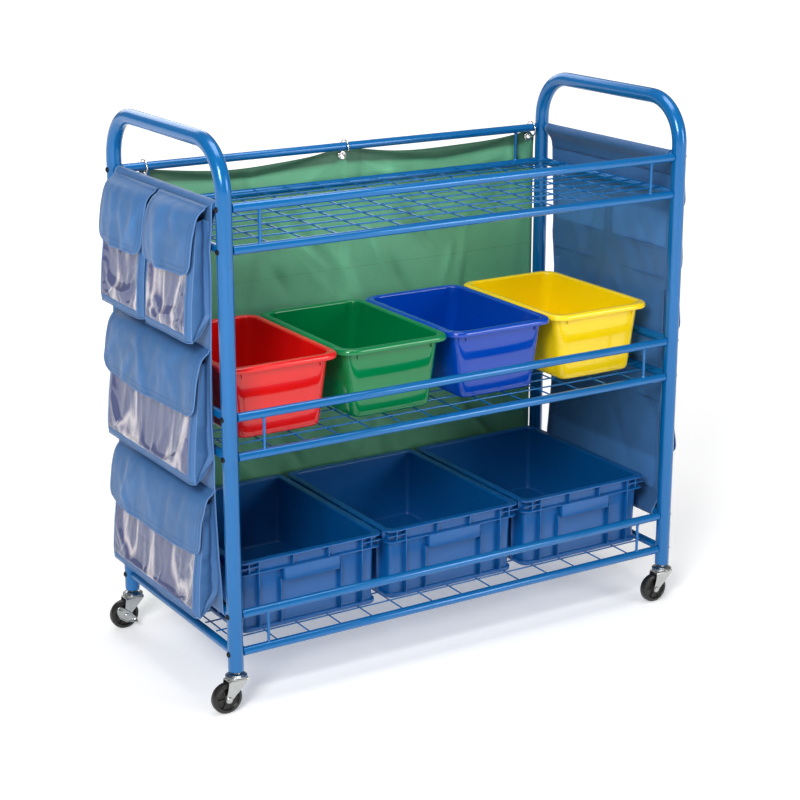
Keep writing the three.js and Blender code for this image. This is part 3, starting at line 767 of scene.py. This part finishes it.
def thicken(made, thickness, smooth=1):
    if smooth:
        soft = made.modifiers.new("smooth", "SUBSURF")
        soft.levels = soft.render_levels = smooth
    solid = made.modifiers.new("thickness", "SOLIDIFY")
    solid.thickness, solid.offset = thickness, 0.0


def settle_later(made, pinned, cap, relief, grow, gravity, stiffness, bending):
    """Marks a cloth piece for the simulation. A point moves at most about cap; relief is the
    fine creasing that goes onto the settled cloth."""
    group = made.vertex_groups.new(name="pinned")
    group.add([int(i) for i in np.flatnonzero(pinned.ravel())], 1.0, "REPLACE")
    modifier = made.modifiers.new("cloth", "CLOTH")
    settings = modifier.settings
    settings.quality = 5
    settings.mass = 0.1
    settings.vertex_group_mass = "pinned"
    settings.tension_stiffness = settings.compression_stiffness = stiffness
    settings.shear_stiffness = stiffness / 2
    settings.bending_stiffness = bending
    settings.shrink_min = -grow
    settings.effector_weights.gravity = gravity
    modifier.collision_settings.use_collision = False
    SETTLING.append((made, cap, relief))


def settle(frames=20):
    """Simulates every marked piece at once, keeps the last shape, and takes Cloth off again."""
    scene = bpy.context.scene
    for made, _, _ in SETTLING:
        cache = made.modifiers["cloth"].point_cache
        cache.frame_start, cache.frame_end = 1, frames
    for number in range(1, frames + 1):
        scene.frame_set(number)
    graph = bpy.context.evaluated_depsgraph_get()
    for made, cap, relief in SETTLING:
        rest = places(made)
        mesh = made.evaluated_get(graph).to_mesh()
        shift = read(mesh.vertices, "co", 3).astype(float).reshape(rest.shape) - rest
        far = np.linalg.norm(shift, axis=2, keepdims=True)
        shift *= np.tanh(far / cap) * cap / np.maximum(far, 1e-9)
        write(made.data.vertices, "co", rest + shift + relief)
        # Painted light and shade: each point's painted shading is raised on the ridges of the creasing and
        # lowered in its hollows.
        height = relief[..., 0] * np.sign(rest[..., 0]) - relief[..., 1] + relief[..., 1].mean()
        shade = 1 + np.clip(height * 45, -0.2, 0.2).ravel().astype(np.float32)  # ridges are lighter
        painted_shading = made.data.attributes["painted_shading"].data
        write(painted_shading, "value", read(painted_shading, "value", 1) * shade)
    for made, _, _ in SETTLING:
        made.modifiers.remove(made.modifiers["cloth"])
        made.vertex_groups.clear()
        made.data.update()
    scene.frame_set(1)


def folds(across, down, seed, count, length, width, depth, lean, spread):
    """Soft random folds: a height for every point of a sheet. lean is the folds' usual slant."""
    random = np.random.default_rng(seed)
    height = np.zeros_like(across)
    for _ in range(count):
        ax, ay = random.uniform(across.min(), across.max()), random.uniform(down.min(), down.max())
        angle = math.pi / 2 + lean + random.normal(0, spread)
        long, wide = length * random.uniform(0.5, 1.4), width * random.uniform(0.6, 1.5)
        along = (across - ax) * math.cos(angle) + (down - ay) * math.sin(angle)
        aside = (down - ay) * math.cos(angle) - (across - ax) * math.sin(angle)
        aside = aside + random.uniform(-1.2, 1.2) * along**2
        fade = np.exp(-np.abs(aside / wide) ** 1.3 - (along / long) ** 2)
        height += random.uniform(-1, 1) * depth * fade
    return height


def on_grid(points, across, down):
    """The point of a sheet at these shares of its columns and rows."""
    rows, columns = points.shape[:2]
    c, r = across * (columns - 1), down * (rows - 1)
    c0, r0 = min(int(c), columns - 2), min(int(r), rows - 2)
    fc, fr = c - c0, r - r0
    top = points[r0, c0] * (1 - fc) + points[r0, c0 + 1] * fc
    bottom = points[r0 + 1, c0] * (1 - fc) + points[r0 + 1, c0 + 1] * fc
    return Vector(top * (1 - fr) + bottom * fr)


def route(points, shares, spacing):
    """A line over a sheet through (across, down) shares, with a point about every spacing metres."""
    line = []
    for (a0, d0), (a1, d1) in zip(shares, shares[1:]):
        length = (on_grid(points, a1, d1) - on_grid(points, a0, d0)).length
        steps = max(2, round(length / spacing))
        for i in range(steps):
            line.append(on_grid(points, a0 + (a1 - a0) * i / steps, d0 + (d1 - d0) * i / steps))
    return line + [on_grid(points, *shares[-1])]


def stitches(shape, line, out, pitch=0.0055, radius=0.0005):
    """Adds a row of thread stitches along a line, raised towards out."""
    lengths = [0.0]
    for a, b in zip(line, line[1:]):
        lengths.append(lengths[-1] + (b - a).length)
    out = Vector(out).normalized()

    def place(distance):
        i = min(max(np.searchsorted(lengths, distance) - 1, 0), len(line) - 2)
        share = (distance - lengths[i]) / max(lengths[i + 1] - lengths[i], 1e-9)
        return line[i].lerp(line[i + 1], share)

    faces = [[0, 1, 2], [0, 2, 3], [0, 3, 4], [0, 4, 1], [5, 2, 1], [5, 3, 2], [5, 4, 3], [5, 1, 4]]
    for k in range(int(lengths[-1] / pitch)):
        start, end = place(k * pitch), place((k + 0.62) * pitch)
        side = (end - start).normalized().cross(out).normalized() * radius
        lift = out * radius
        middle = [start.lerp(end, 0.5) + v for v in (side, lift * 1.3, -side, -lift)]
        shape.add([start, *middle, end], faces)


def sew(shape, points, shares, spacing, out, lift, towards=None):
    """Stitches over a sheet through (across, down) shares, lifted off it along out."""
    out = Vector(out)
    stitches(shape, [p + out * lift for p in route(points, shares, spacing)], towards or out)


# ---- Back panel -------------------------------------------------------------------------------

PANEL_THICKNESS = 0.0007
EYELET_RADIUS = 0.0052
ROUND_A_POINT = [(r, c) for r in (-1, 0, 1) for c in (-1, 0, 1) if r or c]


def back_panel():
    low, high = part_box("back_panel")
    rings = [middle_of(f"hanging_ring_{place}").x for place in PLACES]
    hole_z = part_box("hanging_ring_middle")[0].z + 0.0012
    step = 0.0075
    columns, rows = round((high.x - low.x) / step) + 1, round((high.z - low.z) / step) + 1
    xs, zs = np.linspace(low.x, high.x, columns), np.linspace(high.z, low.z, rows)
    hole_row = int(np.abs(zs - hole_z).argmin())
    zs[hole_row] = hole_z
    hole_columns = [int(np.abs(xs - x).argmin()) for x in rings]
    xs[hole_columns] = rings
    across, down = np.meshgrid(xs, zs)
    pinned = np.zeros(across.shape, bool)
    for column, x in zip(hole_columns, rings):  # the eight points round a hole go onto a circle
        for r, c in ROUND_A_POINT:
            point = (hole_row + r, column + c)
            across[point] = x + EYELET_RADIUS * c / math.hypot(r, c)
            down[point] = hole_z - EYELET_RADIUS * r / math.hypot(r, c)
            pinned[point] = True
    wave = folds(across, down, 8, 16, 0.2, 0.03, 0.006, 0.1, 0.35)
    clear = np.minimum.reduce([np.hypot(across - x, down - hole_z) for x in rings])
    fade = np.clip((clear - 0.012) / 0.05, 0, 1)
    between = np.sin(np.pi * np.interp(across, [low.x, *rings, high.x], [-0.03, 0, 1, 2, 2.03])) ** 2
    sag = (0.0075 + 0.0018 * np.sin(17 * across)) * between
    fallen = down - np.where(down > hole_z + 0.005, sag, sag * fade) * np.exp((down - high.z) / 0.12)
    plane = (low.y + high.y) / 2 + 0.0012
    points = np.stack([across, np.maximum(plane + wave * fade, low.y + 0.0004), fallen], axis=2)
    creases = folds(across, down, 5, 80, 0.07, 0.009, 0.0065, 0.5, 0.35)
    creases += folds(across, down, 6, 50, 0.05, 0.008, 0.0055, 0.0, 0.3)
    relief = np.zeros(points.shape)
    relief[..., 1] = creases * fade + 0.002
    # Painted shade: the doubled hem along the top edge is made darker, as less light shows through two
    # layers.
    hem = np.clip((down - (high.z - 0.029)) / 0.002, 0, 1)
    cut = np.stack([across, down], axis=2)
    made = cloth("back_panel_cloth", points, cut, GREEN_CLOTH, "back_panel_body",
                 ["back_panel"], 1 - 0.66 * hem, [(hole_row, column) for column in hole_columns])
    settle_later(made, pinned, 0.012, relief, 0.004, 1.0, 40, 1.5)
    return made, hole_row, hole_columns


def finish_back_panel(made, hole_row, hole_columns):
    """Once settled: keeps the cloth behind the rails and adds thickness, stitching and eyelets."""
    low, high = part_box("back_panel")
    height = high.z - low.z
    body = "back_panel_body"
    points = places(made)
    points[..., 1] = np.maximum(points[..., 1], low.y + 0.0004)
    write(made.data.vertices, "co", points)
    thicken(made, PANEL_THICKNESS, 0)
    level_seams = [(high.z - z) / height for z in (high.z - 0.030, 0.656, low.z + 0.02)]
    seams = [[(0, down), (1, down)] for down in level_seams]
    seams += [[(across, 0.002), (across, 0.998)] for across in (0.009, 0.991)]
    shape = Shape()
    for seam in seams:
        for sign in (-1, 1):
            sew(shape, points, seam, 0.01, (0, sign, 0), PANEL_THICKNESS / 2)
    thread_piece = piece("back_panel_stitching", shape, GREEN_THREAD, body)
    section = [(0.0044, 0.0006), (0.0050, 0.0013), (0.0066, 0.0017), (0.0084, 0.0014), (0.0096, 0.0003),
               (0.0090, 0.0)]
    for place, column in zip(PLACES, hole_columns):
        centre = Vector(np.mean([points[hole_row + r, column + c] for r, c in ROUND_A_POINT], axis=0))
        ring = Shape().turn(mirrored(section), at(*centre) @ AXIS_ALONG_Y, 40, True)
        piece(f"back_panel_eyelet_{place}", ring, NICKEL, body)


def hanging_ring(which):
    node = f"hanging_ring_{which}"
    centre = middle_of(node)
    radius, wire = 0.0155, 0.0015
    rings = []
    for y, z in circle(1, 56, 0.9):
        out = Vector((0, y, z))
        rings.append([centre + out * (radius + c) + Vector((s, 0, 0)) for c, s in circle(wire, 12)])
    shape = Shape().loft(rings + [rings[0]], capped=False)
    sleeve = [(wire, -0.0012), (wire + 0.0005, -0.001), (wire + 0.0005, 0.001), (wire, 0.0012)]
    for turn in (1.05, 1.25):  # where the ring snaps shut
        place = at(centre.x, centre.y + radius * math.cos(turn), centre.z + radius * math.sin(turn))
        shape.turn(sleeve, place @ Matrix.Rotation(turn, 4, "X"), 16)
    piece(f"{node}_wire", shape, NICKEL, "back_panel_body", [node])


# ---- End organizers ---------------------------------------------------------------------------

ORGANIZER_HALF = 0.195
PANEL_FACE = 0.0102  # the outer face of the organizer's cloth, out from the side tubes' plane
CLOTH = 0.0008
BINDING = (0.0011, 8, 0.0004)  # a bound edge's radius, sides and rounding
POCKET_BACK = 0.0113
PANEL_OUT = POCKET_BACK - 0.0004  # where a gusset meets the organizer
POCKET_STEP = 0.0062
BORDER = 2  # steps of blue round a pocket's window
MOUTH_DROP = 0.024  # from a flap's hinge down to its pocket's mouth
FLOOR_RISE = 0.042  # from a pocket's lower front edge up to its seam on the organizer
FLOOR_CUT = 0.055  # front to back length of the cloth in a pocket's floor
FLAP_LENGTH = 0.114
FLAP_CORNER = 0.026
# Each row's hinge and floor heights.
ROWS = {"top": (0.900, 0.672), "middle": (0.655, 0.420), "bottom": (0.403, 0.172)}
POCKETS = [  # row, place, middle (towards the rear), width of the pocket and of its flap
    ("top", "_rear", 0.0955, 0.180, 0.187),
    ("top", "_front", -0.0955, 0.180, 0.187),
    ("middle", "", 0.0, 0.362, 0.378),
    ("bottom", "", 0.0, 0.362, 0.378),
]


def outwards(side, out, y, z):
    """Row-frame points from distances out from an end's side tubes."""
    return np.stack([SIDES[side] * (POST_X + out), y, z], axis=-1)


def organizer_half(z):
    """Half the organizer's width at a height: its sides draw in between the two sleeves."""
    heights = [0.18, 0.26, 0.38, 0.52, 0.7, 0.82, 0.9]
    return np.interp(z, heights, [ORGANIZER_HALF, 0.191, 0.185, 0.184, 0.189, 0.194, ORGANIZER_HALF])


def lengths_along(line):
    return np.concatenate([[0], np.cumsum(np.linalg.norm(np.diff(line, axis=0), axis=1))])


def organizer_panel(side):
    """One sheet: a sleeve round the top tube, the flat, and a sleeve round the hem tube."""
    top, hem = RAILS["top"][1], RAILS["bottom"][1]
    wrap = RAIL_RADIUS + 0.0014

    def round_tube(height, degrees):
        return [(wrap * math.cos(a), height + wrap * math.sin(a)) for a in np.radians(degrees)]

    # (out, height) down the middle of the sheet, from the end of the upper sleeve to that of the lower.
    path = [(0.0086, top - 0.040), (0.0083, top - 0.030), (0.0060, top - 0.022), (0.0005, top - 0.0145)]
    path += round_tube(top, np.arange(225, -1, -15))
    path += [(0.0098, top - 0.010), (0.0100, top - 0.020)]
    first_flat = len(path)
    heights = np.arange(top - 0.030, hem + 0.034, -0.010)
    path += [(PANEL_FACE, z) for z in heights]
    path += [(0.0100, hem + 0.022), (0.0098, hem + 0.010)]
    path += round_tube(hem, np.arange(0, -226, -15))
    path += [(0.0005, hem + 0.0145), (0.0060, hem + 0.022), (0.0083, hem + 0.032), (0.0086, hem + 0.042)]
    path = np.array(path)
    along = lengths_along(path)
    total = along[-1]
    rows, columns = len(path), 41
    share = np.linspace(-1, 1, columns)
    out = np.repeat(path[:, :1], columns, axis=1)
    z = np.repeat(path[:, 1:], columns, axis=1)
    y = organizer_half(z) * share
    is_flat = np.isin(path[:, :1], [PANEL_FACE]) & np.ones(columns, bool)
    ease = np.clip(np.minimum(top - 0.03 - z, z - hem - 0.03) / 0.06, 0, 1) * is_flat
    swell = 0.0045 * np.sin(np.pi * np.clip((z - hem) / (top - hem), 0, 1)) * (0.4 + 0.6 * share**2)
    wave = folds(y, z, 21 + SIDES[side], 46, 0.08, 0.013, 0.0062, 0.0, 0.45)
    out = out + ease * (swell + wave)
    out = np.where(is_flat, np.maximum(out, RAIL_RADIUS + 0.0012), out)
    painted_shading = np.ones(out.shape)
    # Painted light: the cloth is made brighter behind each window, as a window lets more light through
    # than a flap.
    for row, _, middle, width, _ in POCKETS:  # a window lets more light through the cloth than a flap
        hinge, floor = ROWS[row]
        inside = (np.abs(y - middle) < width / 2 - 0.008) & (z > floor + FLOOR_RISE)
        painted_shading[inside & (z < hinge - FLAP_LENGTH - 0.004) & is_flat] = 1.4
    # Painted shade: the sleeves are made darker, as their double layers let less light through.
    painted_shading[(along < 0.055) | (total - along < 0.055)] = 0.78  # the sleeves' double layers
    cut = np.stack([y, np.repeat(along[:, None], columns, axis=1)], axis=2)
    made = cloth(f"organizer_{side}_cloth", outwards(side, out, y, z), cut, BLUE_CLOTH, "frame",
                 [f"organizer_{side}_panel"], painted_shading)
    thicken(made, CLOTH)

    def across(y):
        return (y / ORGANIZER_HALF + 1) / 2

    def down_at_length(length):
        return float(np.interp(length, along, np.arange(rows))) / (rows - 1)

    def down_at_height(z):
        return (float(np.interp(-z, -heights, np.arange(len(heights)))) + first_flat) / (rows - 1)

    downs = [down_at_length(length) for length in (0.004, 0.011, total - 0.004)]
    seams = [[(0.01, down), (0.99, down)] for down in downs]  # through both layers of the sleeves
    for row, _, middle, width, _ in POCKETS:  # each pocket's floor and sides
        hinge, floor = ROWS[row]
        mouth_down, floor_down = down_at_height(hinge - MOUTH_DROP), down_at_height(floor + FLOOR_RISE)
        seams.append([(across(middle + end * (width / 2 - 0.006)), floor_down) for end in (-1, 1)])
        for end in (-1, 1):
            beside = across(middle + end * (width / 2 - 0.003))
            seams.append([(beside, mouth_down), (beside, floor_down)])
    points = places(made)
    shape = Shape()
    for seam in seams:
        sew(shape, points, seam, 0.012, (-SIDES[side], 0, 0), CLOTH * 0.6)
    for edge in (0.016, 0.984):
        for sign in (-1, 1):
            sew(shape, points, [(edge, 0.04), (edge, 0.96)], 0.012, (sign, 0, 0), CLOTH * 0.6)
    threads = piece(f"organizer_{side}_stitching", shape, DARK_THREAD, "frame")
    edges = Shape()
    for edge in (0.0, 1.0):
        edges.tube(route(points, [(edge, 0.03), (edge, 0.97)], 0.012), *BINDING)
    binding = piece(f"organizer_{side}_binding", edges, PAINTED_HIGHLIGHT_BINDING, "frame")


def pocket_depth(row):
    """Heights up a pocket's side and how far out its face is there, from the floor to the mouth."""
    hinge, floor = ROWS[row]
    heights = [floor + rise for rise in (0, 0.006, 0.02, 0.07, 0.13)] + [hinge - MOUTH_DROP]
    return np.array(heights), np.array([0.0425, 0.0443, 0.0446, 0.0408, 0.033, 0.024])


def down_and_round(points):
    """Down a grid's first column, along its last row and up its last column."""
    return [Vector(p) for p in (*points[:, 0], *points[-1, 1:-1], *points[::-1, -1])]


def pocket_window(side, name, points, cut, width, seed):
    """The clear film, which is held all round and billows a little."""
    film = cloth(f"{name}_window", points, cut, VINYL, "frame", [name])
    edge = np.ones(points.shape[:2], bool)
    edge[1:-1, 1:-1] = False
    y, z = points[..., 1], points[..., 2]
    creases = folds(y, z, seed, round(width * 70), 0.05, 0.006, 0.0035, 0.0, 0.4)
    inset = np.minimum.reduce([gap for v in (y, z) for gap in (v - v.min(), v.max() - v)])
    relief = np.zeros(points.shape)
    relief[..., 0] = SIDES[side] * creases * np.clip(inset / 0.02, 0, 1)
    settle_later(film, edge, 0.007, relief, 0.035, 0.6, 8, 0.05)
    return film


def gusset(side, sign, edge, back, back_y, seed):
    """A pocket's tucked side, from the organizer to the face's edge: its points and their flat cut.
    edge holds the edge's distances out, places across, heights and shares of the way down."""
    out, y, z, fall = edge
    grid, flat = [], []
    for t in (0, 0.08, 0.16, 0.24, 0.32, 0.42, 0.55, 0.7, 0.85, 1):
        reach = PANEL_OUT + back + (out - back - PANEL_OUT) * t
        tuck = 0.013 * math.exp(-(((t - 0.24) / 0.16) ** 2)) * min(1, t / 0.08) * (1 - 0.7 * fall)
        crease = folds(z, np.full(len(z), t * 0.04), seed + sign, 14, 0.03, 0.008, 0.004, 0, 1)
        in_from_edge = tuck + np.abs(crease) * math.sin(math.pi * t)
        grid.append(outwards(side, reach, y * t + back_y * (1 - t) - sign * in_from_edge, z))
        flat.append(np.stack([y + sign * (out - reach), z], axis=1))
    return np.stack(grid, axis=1), np.stack(flat, axis=1)


def joined_mesh(name, parts):
    """One cloth mesh of several grids of points, each with its flat cut and its missing faces."""
    points, cuts, faces = [], [], []
    for grid, flat, missing in parts:
        first = len(points)
        points.extend(grid.reshape(-1, 3))
        cuts.extend(flat.reshape(-1, 2))
        faces += [[first + i for i in face] for face in grid_faces(*grid.shape[:2])
                  if divmod(face[0], grid.shape[1]) not in missing]
    mesh = fabric_mesh(name, points, faces, np.array(cuts), np.ones(len(points)))
    work = bmesh.new()
    work.from_mesh(mesh)
    bmesh.ops.remove_doubles(work, verts=work.verts, dist=0.0002)
    bmesh.ops.delete(work, geom=[v for v in work.verts if not v.link_faces], context="VERTS")
    bmesh.ops.recalc_face_normals(work, faces=work.faces)
    work.to_mesh(mesh)
    work.free()
    return mesh


def pocket(side, row, place, middle, width):
    """A gusseted pocket: blue sides, floor and borders, and a clear film window in its face."""
    name = f"organizer_{side}_pocket_{row}{place}"
    seed = sum(map(ord, name))
    floor = ROWS[row][1]
    heights, depths = pocket_depth(row)
    mouth = heights[-1]
    columns, rows = round(width / POCKET_STEP) + 1, round((mouth - floor) / POCKET_STEP) + 1
    share, z = np.meshgrid(np.linspace(-1, 1, columns), np.linspace(mouth, floor, rows))
    fall = (mouth - z) / (mouth - floor)
    round_off = 1 - np.clip((np.abs(share) * width / 2 - (width / 2 - 0.010)) / 0.010, 0, 1) ** 2 * 0.16
    belly = 0.0028 * (1 - share**2) * np.sin(np.pi * np.clip(fall * 0.9 + 0.1, 0, 1))
    out = POCKET_BACK + np.interp(z, heights, depths) * round_off + belly
    droop = 0.006 * (1 - share**2) * fall**2 + 0.004 * np.sin(3.0 * share + seed) * fall**3
    low_z = z - droop * 0.2
    y = middle + share * (width / 2 - 0.0035 * (1 - fall))
    points = outwards(side, out, y, low_z)
    cut = np.stack([y, low_z], axis=2)
    window = np.s_[: rows - BORDER, BORDER : columns - BORDER]
    film = pocket_window(side, name, points[window], cut[window], width, seed)

    # The blue part is the face's border, the two gussets and the floor, joined where they meet.
    missing = {(r, c) for r in range(rows - BORDER - 1) for c in range(BORDER, columns - BORDER - 1)}
    parts = [(points, cut, missing)]
    back = np.clip((floor + FLOOR_RISE - z[:, 0]) / FLOOR_RISE, 0, None) * 0.036
    for column, sign in ((0, -1), (columns - 1, 1)):
        edge = [values[:, column] for values in (out, y, low_z, fall)]
        parts.append((*gusset(side, sign, edge, back, middle + sign * width / 2, seed), ()))
    t = np.linspace(0, 1, 8)[:, None]
    floor_y = np.repeat(y[-1:], len(t), axis=0)
    floor_z = low_z[-1] * (1 - t) + (floor + FLOOR_RISE) * t - 0.006 * np.sin(np.pi * t)
    floor_grid = outwards(side, out[-1] * (1 - t) + PANEL_OUT * t, floor_y, floor_z)
    parts.append((floor_grid, np.stack([floor_y, low_z[-1] - t * FLOOR_CUT], axis=2), ()))
    mesh = joined_mesh(f"{name}_gusset", parts)
    blue = link(f"{name}_gusset", mesh, BLUE_CLOTH, "frame")
    thicken(blue, CLOTH)

    edges = Shape().tube(down_and_round(points), *BINDING)
    edges.tube(down_and_round(points[window]), 0.0007, 6, 0.0003)
    binding = piece(f"{name}_binding", edges, PAINTED_HIGHLIGHT_BINDING, "frame")
    shape = Shape()
    push = Vector((SIDES[side], 0, 0))
    for seam in (points[2 : rows - BORDER, BORDER - 1], points[2 : rows - BORDER, columns - BORDER],
                 points[rows - BORDER, BORDER - 1 : columns - BORDER + 1]):
        stitches(shape, [Vector(p) + push * 0.0006 for p in seam], push)
    threads = piece(f"{name}_stitching", shape, DARK_THREAD, "frame")

    film_flat = ((film["grid"][1] - 1) * POCKET_STEP, (film["grid"][0] - 1) * POCKET_STEP)
    # The flat cut: two gussets, the face's border on three sides, and the floor.
    border = BORDER * POCKET_STEP
    blue_area = 2 * float(np.trapz(depths, heights)) + FLOOR_CUT * width
    blue_area += 2 * border * (mouth - floor) + border * (width - 2 * border)
    blue_flat = (width + 2 * depths.max(), mouth - floor + FLOOR_CUT)
    return film, film_flat, blue, blue_area, blue_flat, [binding, threads]


def flap(side, row, place, middle, width):
    """A flap sewn on above its pocket: it stands out over the mouth and hangs from there."""
    name = f"organizer_{side}_flap_{row}{place}"
    seed = sum(map(ord, name))
    line = np.array([(0, 0), (0.008, -0.0008), (0.016, -0.0025), (0.0225, -0.005), (0.028, -0.009),
                     (0.0325, -0.015), (0.036, -0.022), (0.040, -0.035), (0.0435, -0.050), (0.047, -0.080),
                     (0.050, -FLAP_LENGTH)])
    along = lengths_along(line)
    total = along[-1]
    rows, columns = round(total / 0.0065) + 1, round(width / 0.0085) + 1
    distance = np.linspace(0, total, rows)[:, None]
    share = np.linspace(-1, 1, columns)[None, :]
    past = np.clip((distance - (total - FLAP_CORNER)) / FLAP_CORNER, 0, 1)
    half = width / 2 - FLAP_CORNER * (1 - np.sqrt(np.maximum(1 - past**2, 0.0)) * 0.985)
    half = half - 0.004 * np.clip(1 - distance / 0.05, 0, 1)
    y = middle + half * share
    out = np.interp(distance, along, line[:, 0])
    hang = distance / total
    ends = np.abs(share) ** 4
    out = out * (1 - 0.14 * ends * (1 - hang)) - 0.0035 * ends * hang
    out = out + 0.002 * hang * np.cos(np.pi * share)
    z = ROWS[row][0] + np.interp(distance, along, line[:, 1]) - 0.004 * ends * (1 - hang) * hang * 4
    random = np.random.default_rng(seed)
    wave = np.zeros_like(y)
    for _ in range(7 if width > 0.3 else 4):  # soft folds that fan out from the seam
        start, slant = random.uniform(-0.9, 0.9), random.uniform(-0.35, 0.35)
        wide = random.uniform(0.010, 0.022)
        centre_line = middle + width / 2 * (start + slant * hang)
        wave += random.uniform(-1, 1) * np.exp(-(((y - centre_line) / wide) ** 2))
    out = out + 0.002 * wave * np.sin(np.pi * np.clip(hang * 0.85 + 0.05, 0, 1))
    creases = folds(y, z, seed, round(width * 80), 0.05, 0.008, 0.005, 0.0, 0.6)
    relief = np.zeros((*y.shape, 3))
    # Raised, a lower flap's shoulder passes close under the pocket above, so creases stay low there.
    room = np.inf if row == "top" else np.interp(hang, [0.45, 0.7], [0.0012, 0.006])
    crease = np.clip(creases + 0.0018 * wave, -0.0018, room)
    relief[..., 0] = SIDES[side] * crease * np.clip((hang - 0.12) / 0.2, 0, 1)
    out = out + 0.0022 * np.sin(5.2 * share + seed % 7) * hang**2
    cut = np.stack([y, np.broadcast_to(-distance, y.shape)], axis=2)
    made = cloth(f"{name}_cloth", outwards(side, POCKET_BACK + out, y, z), cut, BLUE_CLOTH,
                 f"flap_{side}_{row}{place}_body", [name])
    pinned = np.zeros((rows, columns), bool)
    pinned[:2] = True
    settle_later(made, pinned, 0.005, relief, 0.012, 0.15, 15, 0.3)
    return made, total, width


def finish_flap(made, total, width, side, place):
    name, body = f"organizer_{side}_flap_{place}", f"flap_{side}_{place}_body"
    thicken(made, CLOTH)
    points = places(made)
    shape = Shape()
    push, up = Vector((SIDES[side], 0, 0)), Vector((0, 0, 1))
    for inset in (0.005, 0.013):
        a, d = inset / width, 1 - inset / total
        seam = [(a, 0.07), (a, d), (1 - a, d), (1 - a, 0.07)]
        sew(shape, points, seam, 0.008, push, CLOTH * 0.7, push + up * 0.2)
    sew(shape, points, [(0.01, 0.07), (0.99, 0.07)], 0.008, up, CLOTH * 0.7)
    threads = piece(f"{name}_stitching", shape, DARK_THREAD, body)
    edges = Shape().tube(route(points, [(0, 0), (0, 1), (1, 1), (1, 0)], 0.006), *BINDING)
    binding = piece(f"{name}_binding", edges, PAINTED_HIGHLIGHT_BINDING, body)


# ---- Building the cart ----------------------------------------------------------------------

for side in SIDES:
    end_frame(side)
    screws(side)
for level in LEVELS:
    deck(level)
    guard(level, "front")
    guard(level, "rear")
for corner in CORNERS:
    caster(corner)
for colour in TRAY_COLOURS:
    tray(colour)
for which in PLACES:
    tote(which)
    hanging_ring(which)

panel_parts = back_panel()
pocket_parts, flap_parts = [], []
for side in SIDES:
    organizer_panel(side)
    for row, place, middle, width, flap_width in POCKETS:
        pocket_parts.append((side, pocket(side, row, place, middle, width)))
        flap_parts.append((side, row + place, flap(side, row, place, middle, flap_width)))

settle()

finish_back_panel(*panel_parts)
for side, (film, film_flat, blue, blue_area, blue_flat, trims) in pocket_parts:
    thicken(film, 0.0004)
for side, name, parts in flap_parts:
    finish_flap(*parts, side, name)

# ---- Floor, light and camera ----------------------------------------------------------------


def floor():
    mesh = bpy.data.meshes.new("floor")
    half = 30
    corners = [(-half, -half), (half, -half), (half, half), (-half, half)]
    mesh.from_pydata(at_height(corners, 0), [], [[0, 1, 2, 3]])
    finish = Finish("pale_floor", (0.8, 0.8, 0.8, 1), 0.75, Emission_Color=(1, 1, 1, 1))
    distance = finish.node("VectorMath", Vector=finish.place)
    distance.operation = "LENGTH"
    glow = finish.ramp(distance.outputs["Value"], 0.32, 0.98, (1.0, 5.0))
    finish.fill(finish.shader, Emission_Strength=glow)
    mesh.materials.append(finish.material)
    made = bpy.data.objects.new("floor", mesh)
    bpy.context.scene.collection.objects.link(made)


def softbox(name, place, aim, size, power):
    lamp = bpy.data.lights.new(name, "AREA")
    lamp.shape = "RECTANGLE"
    lamp.size, lamp.size_y = size
    lamp.energy = power
    made = bpy.data.objects.new(name, lamp)
    made.location = place
    made.rotation_euler = (Vector(aim) - Vector(place)).to_track_quat("-Z", "Y").to_euler()
    bpy.context.scene.collection.objects.link(made)


def light():
    world = bpy.data.worlds.new("studio")
    world.use_nodes = True
    world.node_tree.nodes["Background"].inputs["Color"].default_value = (1, 1, 1, 1)
    world.node_tree.nodes["Background"].inputs["Strength"].default_value = 0.2
    bpy.context.scene.world = world
    softbox("key", (-3.0, -2.8, 2.9), (0, 0, 0.5), (1.3, 1.7), 165)
    softbox("fill", (2.4, -3.8, 1.7), (0, 0, 0.5), (1.5, 1.6), 58)
    softbox("top", (0.0, -0.3, 3.6), (0, 0, 0), (2.2, 1.6), 60)
    softbox("back", (0.5, 3.6, 2.6), (0, 0, 0.6), (3.0, 2.0), 45)


def camera():
    lens = bpy.data.cameras.new("camera")
    lens.lens = 86.0
    made = bpy.data.objects.new("camera", lens)
    made.location = (-1.861, -2.990, 1.510)
    made.rotation_euler = (math.radians(90 - 16.90), 0, math.radians(-31.85))
    bpy.context.scene.collection.objects.link(made)
    bpy.context.scene.camera = made


floor()
light()
camera()
bpy.context.scene.view_settings.view_transform = "Standard"
